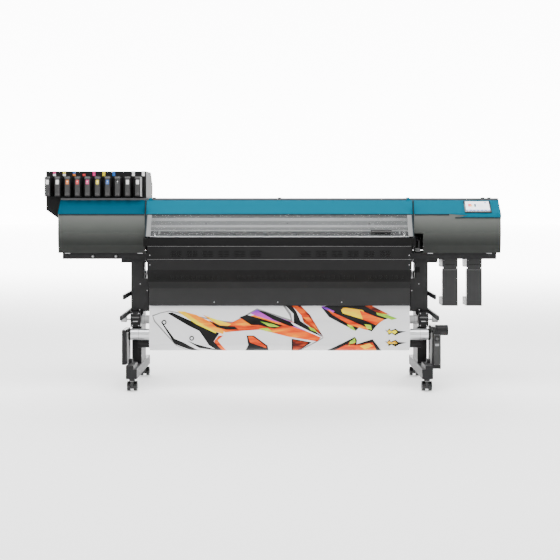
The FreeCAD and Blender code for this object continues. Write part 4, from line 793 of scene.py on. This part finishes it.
# Tiles on the touch screen: x, z, width, height, lift, look, thickness and edge.
tiles = [
    (0, 0, 168, 96, 0.4, "screenGlass", 1.6, 1.2), (0, 3, 150, 82, 1.1, "screenWhite", 0.8),
    (0, -33, 150, 9, 1.5, "screenBlue", 0.6), (-47, 10, 22, 24, 1.5, "screenRed", 0.6, 4),
    (-38, 6, 12, 14, 1.7, "screenOrange", 0.6, 3), (-14, 8, 12, 24, 1.5, "screenNavy", 0.6, 2),
    (-20, 2, 6, 12, 1.7, "screenGreen", 0.6, 2), (52, 32, 12, 8, 1.5, "screenBlue", 0.6, 1),
    (22, 12, 26, 2.4, 1.5, "screenGrey", 0.6), (18, 4, 18, 2.4, 1.5, "screenGrey", 0.6),
    (24, -4, 30, 2.4, 1.5, "screenGrey", 0.6),
]
buttons = {"count": 6, "pitch": 24, "first": (-60, -33, 10, 4, 1.9, "screenWhite", 0.5, 0.8)}
glass = [onPanel(*tile) for tile in tiles]
glass += spread(onPanel(*buttons["first"]), [(buttons["pitch"] * index, 0, 0) for index in range(buttons["count"])])
finished(glass, "touchScreen", "machine")
print("touch screen:", len(glass), "tiles")

# Ink cartridges: each one's label, then the upper and lower tag beside it on the rack.
inkRow = [
    ("labelWhite", "labelPink", "labelWhite"), ("labelWhite", "labelYellow", "labelWhite"),
    ("labelOrange", "labelBlue", "labelOrange"), ("labelRed", None, "labelRed"),
    ("labelPink", "labelPink", "labelPink"), ("labelYellow", "labelYellow", "labelYellow"),
    ("labelBlue", "labelBlue", "labelBlue"), ("labelBlack", None, None),
    ("labelWhite", "labelWhite", "labelWhite"), ("labelWhite", "labelWhite", "labelWhite"),
]
tag = {"offset": 22, "half": 9, "upper": (17, 3), "lower": (31, 17)}
rackFront, rackTop = span("ink_rack")[0][1], span("ink_rack")[1][2]
rackTags = []
for number, (look, upper, lower) in enumerate(inkRow, 1):
    node = "ink_cartridge_%02d" % number
    (x0, y0, z0), (x1, y1, z1) = span(node)
    middle = (x0 + x1) / 2
    parts = [
        block((x0 + 0.5, x1 - 0.5), (y0 - 5, y0 + 3), (z1 - 12, z1 + 1.5), "cartridgeCap", 3.5, 3),
        block((x0 + 3, x1 - 3), (y0 - 2.5, y0 + 1), (z0 + 4, z1 - 14), "cartridgeFace", 1.8, 3),
        block(around(middle, 9), (y0 - 3, y0 - 2), (z1 - 46, z1 - 19), look, 0.4),
    ]
    parts += spread(block(around(middle, 11), (y0 - 4.5, y0 - 2), (z0 + 9, z0 + 13), "cartridgeCap", 1),
                    [(0, 0, 9), (0, 0, 18)])
    if look == "labelWhite":
        parts += [block(around(middle, 6), (y0 - 3.4, y0 - 3), (z, z + 1.6), "labelGrey")
                  for z in (z1 - 40, z1 - 35, z1 - 26)]
    else:
        parts += [block(around(middle, 5), (y0 - 3.4, y0 - 3), (z1 - 40, z1 - 38), "labelGrey"),
                  rod("y", 3.5, (y0 - 3.6, y0 - 3), (middle, z1 - 29), "labelWhite", 0, 16)]
    finished(parts, "cartridgeTrim_%02d" % number, node)
    for colour, (low, high) in ((upper, tag["upper"]), (lower, tag["lower"])):
        if colour:
            rackTags.append(block(around(middle + tag["offset"], tag["half"]), around(rackFront, 1),
                                  (rackTop - low, rackTop - high), colour, 0.5))
finished(rackTags, "rackTags", "machine")
print("ink rack dressed:", len(inkRow), "cartridges")

# Knobs and tabs on the chassis pan, screws and hub caps on the legs.
pan = {"knobs": (-1182, -1036), "knobHeight": 828, "tabs": (-1342, -882, 955, 1328), "tabHeights": (845, 851)}
leg = {"screws": ((843, 608), (888, 650)), "screwRadius": 3.6, "hubX": 890, "hubHeight": 470, "pinHeight": 486,
       "patch": ((863, 895), (722, 758))}
panFront = span("chassis_pan")[0][1]
knobs = []
for x in pan["knobs"]:
    knobs += [rod("y", 9, (panFront - 10, panFront), (x, pan["knobHeight"]), "knobSteel", 1.5, 24),
              rod("y", 5, (panFront - 14, panFront - 9), (x, pan["knobHeight"]), "rollerSteel", 1, 16)]
for x in pan["tabs"]:
    knobs.append(block(around(x, 17), (panFront - 5, panFront + 1), pan["tabHeights"], "rollerSteel", 1.5))
finished(knobs, "panFittings", "machine")

legFace = span("leg_covers")[0][1]
spots = [(side * x, legFace, z) for side in (-1, 1) for x, z in leg["screws"]]
screws("legScrews", "machine", spots, leg["screwRadius"])
patchX, patchZ = leg["patch"]
hubs = [block(patchX, (legFace - 2.5, legFace + 1), patchZ, "socketBlack", 1.5)]
for x in (-leg["hubX"], leg["hubX"]):
    hubs += [rod("y", 24, (legFace - 10, legFace), (x, leg["hubHeight"]), "socketBlack", 3, 40),
             rod("y", 4, (legFace - 12, legFace - 9), (x, leg["pinHeight"]), "rollerSteel", 0.8, 16)]
finished(hubs, "legFittings", "machine")
print("pan and legs fitted")

# Inside the window: the carriage beam's bands, flat greys of painted reflection and painted shade for its brushed
# metal, its screws, and the guard over the feed, a dark sheet of painted shade.
beam = {
    "half": 836, "screws": (-476, 52, 582), "screwHeight": 1032, "proud": 0.12, "screwRadius": 5,
    "bands": [("beamPaintedShade", 1070, 1099), ("beamPaintedHighlight", 1050, 1069), ("beamMid", 1024, 1049),
              ("beamPaintedHighlight", 1009, 1023), ("beamMid", 990, 1008), ("beamPaintedHighlight", 984, 989)],
}
guard = {"half": 845, "sheet": ((291, 295.5), (951, 1001)), "rib": ((287, 291.5), (975, 979))}
beamFront = span("guide_beam")[0][1]
# Painted reflections and painted shade: one flat grey band for each streak the brushed beam shows.
bands = [block(around(0, beam["half"]), (beamFront - 0.2, beamFront + 0.5), (low, high), look)
         for look, low, high in beam["bands"]]
finished(bands, "beamPaintedReflections", "machine")
# The guard over the feed, dark with painted shade where the window shows only shadow.
finished([block(around(0, guard["half"]), *guard["sheet"], "beamShade", 1.2),
          block(around(0, guard["half"]), *guard["rib"], "beamMid", 1)], "feedGuard", "machine")
spots = [(x, beamFront - beam["proud"], beam["screwHeight"]) for x in beam["screws"]]
screws("beamScrews", "machine", spots, beam["screwRadius"], "knobSteel")

# Painted shadow: dark strips under the coloured bands, along their seams; and black blocks of painted shade in the
# gaps beside the front cover.
bandShadow = {"left": (-1388, -850), "right": (850, 1067), "farRight": (1104, 1393), "middle": (-834, 834)}
gapShade = {"sides": ((-847.5, -838), (837.5, 845.5)), "reach": (-203, -180), "heights": (958, 1180)}
gasket = {"sides": (-832.5, 832.5), "line": [(-203.8, 1095), (-284.8, 957)], "half": 3.5, "thickness": 1.2}
bandLow, rightLow = span("cover_band")[0], span("top_band_right")[0]


# A dark strip of painted shadow under a band's lower edge.
def shadowUnderBand(reach, corner=bandLow, proud=0.6, deep=9):
    return block(reach, (corner[1] - proud, corner[1] + 2), (corner[2] - deep, corner[2] - 0.4), "seamAndShadeBlack", 0.5)


finished(shadowUnderBand(bandShadow["left"]), "bandShadowLeft", "machine")
finished([shadowUnderBand(bandShadow["right"]), shadowUnderBand(bandShadow["farRight"], rightLow, 0.8, 8)],
         "bandShadowRight", "machine")
# Painted shade: black blocks in the gaps beside the front cover, hiding the bright beam behind.
gapShadeBlocks = [block(side, gapShade["reach"], gapShade["heights"], "seamAndShadeBlack", 0.8) for side in gapShade["sides"]]
finished(gapShadeBlocks, "coverGapShade", "machine")
finished(shadowUnderBand(bandShadow["middle"]), "bandShadowMiddle", "front_cover")
gaskets = []
for middle in gasket["sides"]:
    strand = strip(gasket["line"], gasket["half"], "seamAndShadeBlack", middle)
    gaskets.append(applyModifier(strand, "SOLIDIFY", {"thickness": gasket["thickness"] * mm, "offset": 0}))
finished(gaskets, "endGaskets", "front_cover")

# A pad and two screws on the cover's handle.
(x0, y0, z0), (x1, y1, z1) = span("cover_handle")
parts = [block((x0 + 6, x1 - 6), (y0 - 2.5, y0 + 2), (z0 + 5, z1 - 5), "cartridgeCap", 1.2)]
parts += [rod("y", 3, (y0 - 3, y0 + 1), (x, (z0 + z1) / 2), "knobSteel", 0.6, 16) for x in (x0 + 12, x1 - 12)]
finished(parts, "handleTrim", "front_cover")
print("window, bands and handle trimmed")

# Louvres and screws on the ends.
louvre = {"rows": 6, "pitch": 16, "proud": 3, "reach": (60, 150), "heights": (930, 937),
          "screws": [(-120, 900), (-120, 1120), (250, 900), (250, 1120)]}
endX = span("side_cover_right")[1][0]
for side, name in ((-1, "left"), (1, "right")):
    vane = block(outwards(side, endX, endX + louvre["proud"]), louvre["reach"], louvre["heights"], "rearPanel", 2.4, 3)
    parts = spread(vane, [(0, 0, louvre["pitch"] * row) for row in range(louvre["rows"])])
    screwOne = rod("x", 5, outwards(side, endX - 1, endX + 2), louvre["screws"][0], "knobSteel", 0.8, 20)
    parts += spread(screwOne, [(0, y, z) for y, z in louvre["screws"]])
    finished(parts, "endLouvres_" + name, "machine")

# The back: louvres and screws on the rear cover, sockets and grilles behind the ends.
rear = {"groups": (-620, -320, 320, 620), "half": 80, "rows": 6, "pitch": 18, "rise": 40, "height": 7,
        "screws": (-820, -410, 0, 410, 820), "inset": 12}
(x0, y0, z0), (x1, y1, z1) = span("rear_cover")
vane = block(around(rear["groups"][0], rear["half"]), (y1 - 0.5, y1 + 3),
             (z0 + rear["rise"], z0 + rear["rise"] + rear["height"]), "rearPanel", 2.4, 3)
parts = spread(vane, [(x, 0, rear["pitch"] * row) for x in rear["groups"] for row in range(rear["rows"])])
screwOne = rod("y", 5, (y1 - 1, y1 + 2), (rear["screws"][0], z0 + rear["inset"]), "knobSteel", 0.8, 20)
parts += spread(screwOne, [(x, 0, z) for x in rear["screws"] for z in (z0 + rear["inset"], z1 - rear["inset"])])
finished(parts, "rearLouvres", "machine")

sideBack = span("side_cover_right")[1][1]
# Each panel: x and z reach, look and edge; each grille: x reach, first vane's heights, pitch and count.
panels = [((1120, 1290), (880, 960), "socketBlack", 1.5), ((1120, 1290), (990, 1110), "rearPanel", 2),
          ((-1290, -1120), (900, 1080), "rearPanel", 2)]
grilles = [((1130, 1280), (1000, 1006), 15, 7), ((-1278, -1132), (912, 918), 16, 10)]
ports = {"count": 3, "pitch": 46}
parts = [block(x, (sideBack - 1, sideBack + 2), z, look, edge) for x, z, look, edge in panels]
steps = [(ports["pitch"] * index, 0, 0) for index in range(ports["count"])]
parts += spread(block((1140, 1162), (sideBack + 1.5, sideBack + 4), (905, 922), "knobSteel", 1.2), steps)
parts += spread(block((1143, 1159), (sideBack + 3.6, sideBack + 4.4), (908, 919), "socketBlack", 0.4), steps)
for reach, heights, pitch, count in grilles:
    vane = block(reach, (sideBack + 1.5, sideBack + 3.5), heights, "socketBlack", 1)
    parts += spread(vane, [(0, 0, pitch * row) for row in range(count)])
finished(parts, "rearPorts", "machine")

# The roof: seams, rubber stops and hinge caps.
roof = {"seams": (-846, 0, 846), "stops": (-800, 0, 820, 1300, 1340), "caps": (-420, 420)}
top = span("roof_cover")[1][2]
parts = [block(around(x, 1), (-100, 290), (top - 0.5, top + 0.4), "seamAndShadeBlack") for x in roof["seams"]]
stop = block(around(roof["stops"][0], 9), (-100, -70), (top - 0.5, top + 5), "roofPlastic", 2, 3)
parts += spread(stop, [(x, 0, 0) for x in roof["stops"]])
parts += [block(around(x, 40), (120, 180), (top - 0.5, top + 1.6), "roofPlastic", 1.2) for x in roof["caps"]]
finished(parts, "roofFittings", "machine")
print("ends, back and roof fitted")

# Casters: a hub disc with a cap and a ring of bolts on each side, and the bearing under the plate.
caster = {"disc": 17, "cap": 6, "bolt": 2.6, "bolts": 6, "ring": 11.5, "trail": 16}
for corner in ("front_left", "front_right", "rear_left", "rear_right"):
    wheels, fork = "caster_wheels_" + corner, "caster_fork_" + corner
    (x0, y0, z0), (x1, y1, z1) = span(wheels)
    middle, hubY, hubZ = (x0 + x1) / 2, (y0 + y1) / 2, (z0 + z1) / 2
    parts = []
    for side, face in ((-1, x0), (1, x1)):
        parts += [rod("x", caster["disc"], sorted((face - side, face + side * 1.6)), (hubY, hubZ), "cartridgeCap", 1),
                  rod("x", caster["cap"], sorted((face + side, face + side * 3)), (hubY, hubZ), "knobSteel", 0.8, 20)]
        turns = [2 * math.pi * index / caster["bolts"] for index in range(caster["bolts"])]
        ring = [(0, caster["ring"] * math.cos(turn), caster["ring"] * math.sin(turn)) for turn in turns]
        bolt = rod("x", caster["bolt"], sorted((face + side, face + side * 2.2)),
                   (hubY + ring[0][1], hubZ + ring[0][2]), "socketBlack", 0, 12)
        parts += spread(bolt, ring)
    finished(parts, "casterHubs_" + corner, wheels)
    z1 = span(fork)[1][2]
    parts = [rod("z", 19, (z1 - 14, z1 - 4.5), (middle, hubY - caster["trail"]), "casterNylon", 2),
             rod("z", 15, (z1 - 18, z1 - 13), (middle, hubY - caster["trail"]), "knobSteel", 0.8)]
    finished(parts, "casterBearing_" + corner, fork)
print("casters dressed")

# Take-up: screws and clamps on the end blocks, rings, caps, bolts and the drive's controls.
takeup = {
    "screws": (893, 934), "clamp": ((889, 938), (436, 444)), "jaw": ((898, 930), (412, 418)),
    "rings": (860, 876), "ringRadius": 28.6, "coreY": -110, "endCap": (932, 946.5), "collar": (880, 884),
    "pivot": (-185, 165, 9), "barBolt": 11, "driveScrews": [(970, 156), (1001, 156), (970, 339), (1001, 339)],
}
(x0, y0, z0), (x1, y1, z1) = span("takeup_end_blocks")
spots = [(side * x, y0, z) for side in (-1, 1) for x in takeup["screws"] for z in (z0 + 8, z1 - 10)]
screws("blockScrews", "machine", spots)
parts = []
for side in (-1, 1):
    (clampX, clampZ), (jawX, jawZ) = takeup["clamp"], takeup["jaw"]
    parts += [block(outwards(side, *clampX), (y0 - 6, y0 + 1), clampZ, "knobSteel", 2),
              block(outwards(side, *jawX), (y0 - 9, y0 + 1), jawZ, "rollerSteel", 2)]
finished(parts, "blockClamps", "machine")

coreLow, coreHigh = span("takeup_core")
coreMiddle = (takeup["coreY"], (coreLow[2] + coreHigh[2]) / 2)
parts = [rod("x", takeup["ringRadius"], outwards(side, x - 5, x + 1), coreMiddle, "armPaint", 1.2, 40)
         for side in (-1, 1) for x in takeup["rings"]]
finished(parts, "coreRings", "takeup_core")

barLow, barHigh = span("tension_bar")
barY, barZ = (barLow[1] + barHigh[1]) / 2, (barLow[2] + barHigh[2]) / 2
parts = []
for side in (-1, 1):
    parts += [rod("x", 35.6, outwards(side, *takeup["endCap"]), (barY, barZ), "socketBlack", 1.5, 48),
              rod("x", 35.5, outwards(side, *takeup["collar"]), (barY, barZ), "beamMid", 0.8, 48)]
finished(parts, "barCaps", "tension_bar")

armX = span("dancer_arms")[1][0]
parts = [rod("x", radius, outwards(side, armX - 1, armX + 2), (y, z), "knobSteel", 1, 24)
         for side in (-1, 1) for y, z, radius in (takeup["pivot"], (barY, barZ, takeup["barBolt"]))]
finished(parts, "armBolts", "dancer_arms")

front = span("takeup_drive_box")[0][1]
parts = [
    block((965, 1006), (front - 1.5, front + 1), (150, 345), "cartridgeFace", 3, 3),
    block((972, 999), (front - 3, front - 1), (300, 330), "socketBlack", 2),
    block((976, 995), (front - 6, front - 2), (306, 324), "cartridgeCap", 2.5, 3),
    block((974, 997), (front - 2.4, front - 1), (270, 284), "labelGrey", 0.8),
]
screwOne = rod("y", 2.6, (front - 3, front - 1), takeup["driveScrews"][0], "knobSteel", 0.6, 14)
parts += spread(screwOne, [(x, 0, z) for x, z in takeup["driveScrews"]])
finished(parts, "driveControls", "machine")
print("take-up dressed")

# Drains: a bright lip, a slot and two screws on each holder.
drain = {"middles": (1089, 1243.5), "lip": (738, 741), "slot": (770, 774), "screwX": 40, "screwHeight": 800}
y0 = span("drain_holders")[0][1]
parts = []
for x in drain["middles"]:
    parts += [block(around(x, 47), (y0 - 1, y0 + 1), drain["lip"], "edgeBright", 0.6),
              block(around(x, 34), (y0 - 1.4, y0 + 1), drain["slot"], "socketBlack", 0.8)]
    parts += [rod("y", 3, (y0 - 2, y0 + 1), (x + side * drain["screwX"], drain["screwHeight"]), "knobSteel", 0.7, 16)
              for side in (-1, 1)]
finished(parts, "drainTrim", "machine")

# Carriages, inside the covers, and the load lever's grip.
for node, name in (("print_carriage", "printHead"), ("cutting_carriage", "cutterHead")):
    (x0, y0, z0), (x1, y1, z1) = span(node)
    parts = [block((x0 + 8, x1 - 8), (y0 - 3, y0 + 1), (z0 + 10, z1 - 8), "cartridgeFace", 2.5, 3),
             block((x0 + 20, x1 - 20), (y0 - 4.5, y0 - 2), (z1 - 30, z1 - 22), "labelGrey", 1),
             block((x0 + 16, x1 - 16), (y0 + 20, y1 - 20), (z1 - 1, z1 + 4), "cartridgeCap", 2, 3)]
    parts += [rod("y", 3, (y0 - 4.4, y0 - 2.5), (x, z0 + 20), "knobSteel", 0.6, 14) for x in (x0 + 16, x1 - 16)]
    finished(parts, name, node)

(x0, y0, z0), (x1, y1, z1) = span("load_lever")
grip = block((x0 - 0.8, x1 + 0.8), (y0 - 1.5, y0 + 14), (z0 - 0.8, z0 + 22), "cartridgeCap", 0.7, 2)
finished(grip, "leverGrip", "load_lever")
print("drains, carriages and lever dressed")

# The floor, and a wall far behind; between glowFrom and glowTo the floor grows as bright as the wall.
stage = {"floorSize": 160, "floorWhite": 0.86, "glowFrom": 1.5, "glowTo": 14, "wallSize": 200, "wallAway": 75,
         "wallWhite": 0.9}


def staged(name, material):
    made = bpy.context.object
    made.name = name
    made.data.materials.append(material)
    made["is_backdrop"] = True


bpy.ops.object.select_all(action="DESELECT")
bpy.ops.mesh.primitive_plane_add(size=stage["floorSize"])
material, tree, shader, coords = startMaterial("paleFloor")
behind = addNode(tree, "ShaderNodeSeparateXYZ", {"Vector": coords}).outputs["Y"]
glow = addNode(tree, "ShaderNodeMapRange", {
    "Value": behind, "From Min": stage["glowFrom"], "From Max": stage["glowTo"],
    "To Min": studio["floor"], "To Max": studio["wall"]}, smooth)
fill(tree, shader, {
    "Base Color": rgb(*[stage["floorWhite"]] * 3), "Roughness": 0.9, "Specular IOR Level": 0.1,
    "Emission Color": rgb(1, 1, 1), "Emission Strength": glow.outputs["Result"]})
staged("floor", material)

startClean()
bpy.ops.mesh.primitive_plane_add(
    size=stage["wallSize"], location=(0, stage["wallAway"], 0), rotation=(quarter, 0, 0))
material, tree, shader, coords = startMaterial("paleWall")
fill(tree, shader, {
    "Base Color": rgb(*[stage["wallWhite"]] * 3), "Emission Color": rgb(1, 1, 1),
    "Emission Strength": studio["wall"]})
staged("backdrop", material)
print("floor and backdrop set")

low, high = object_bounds()
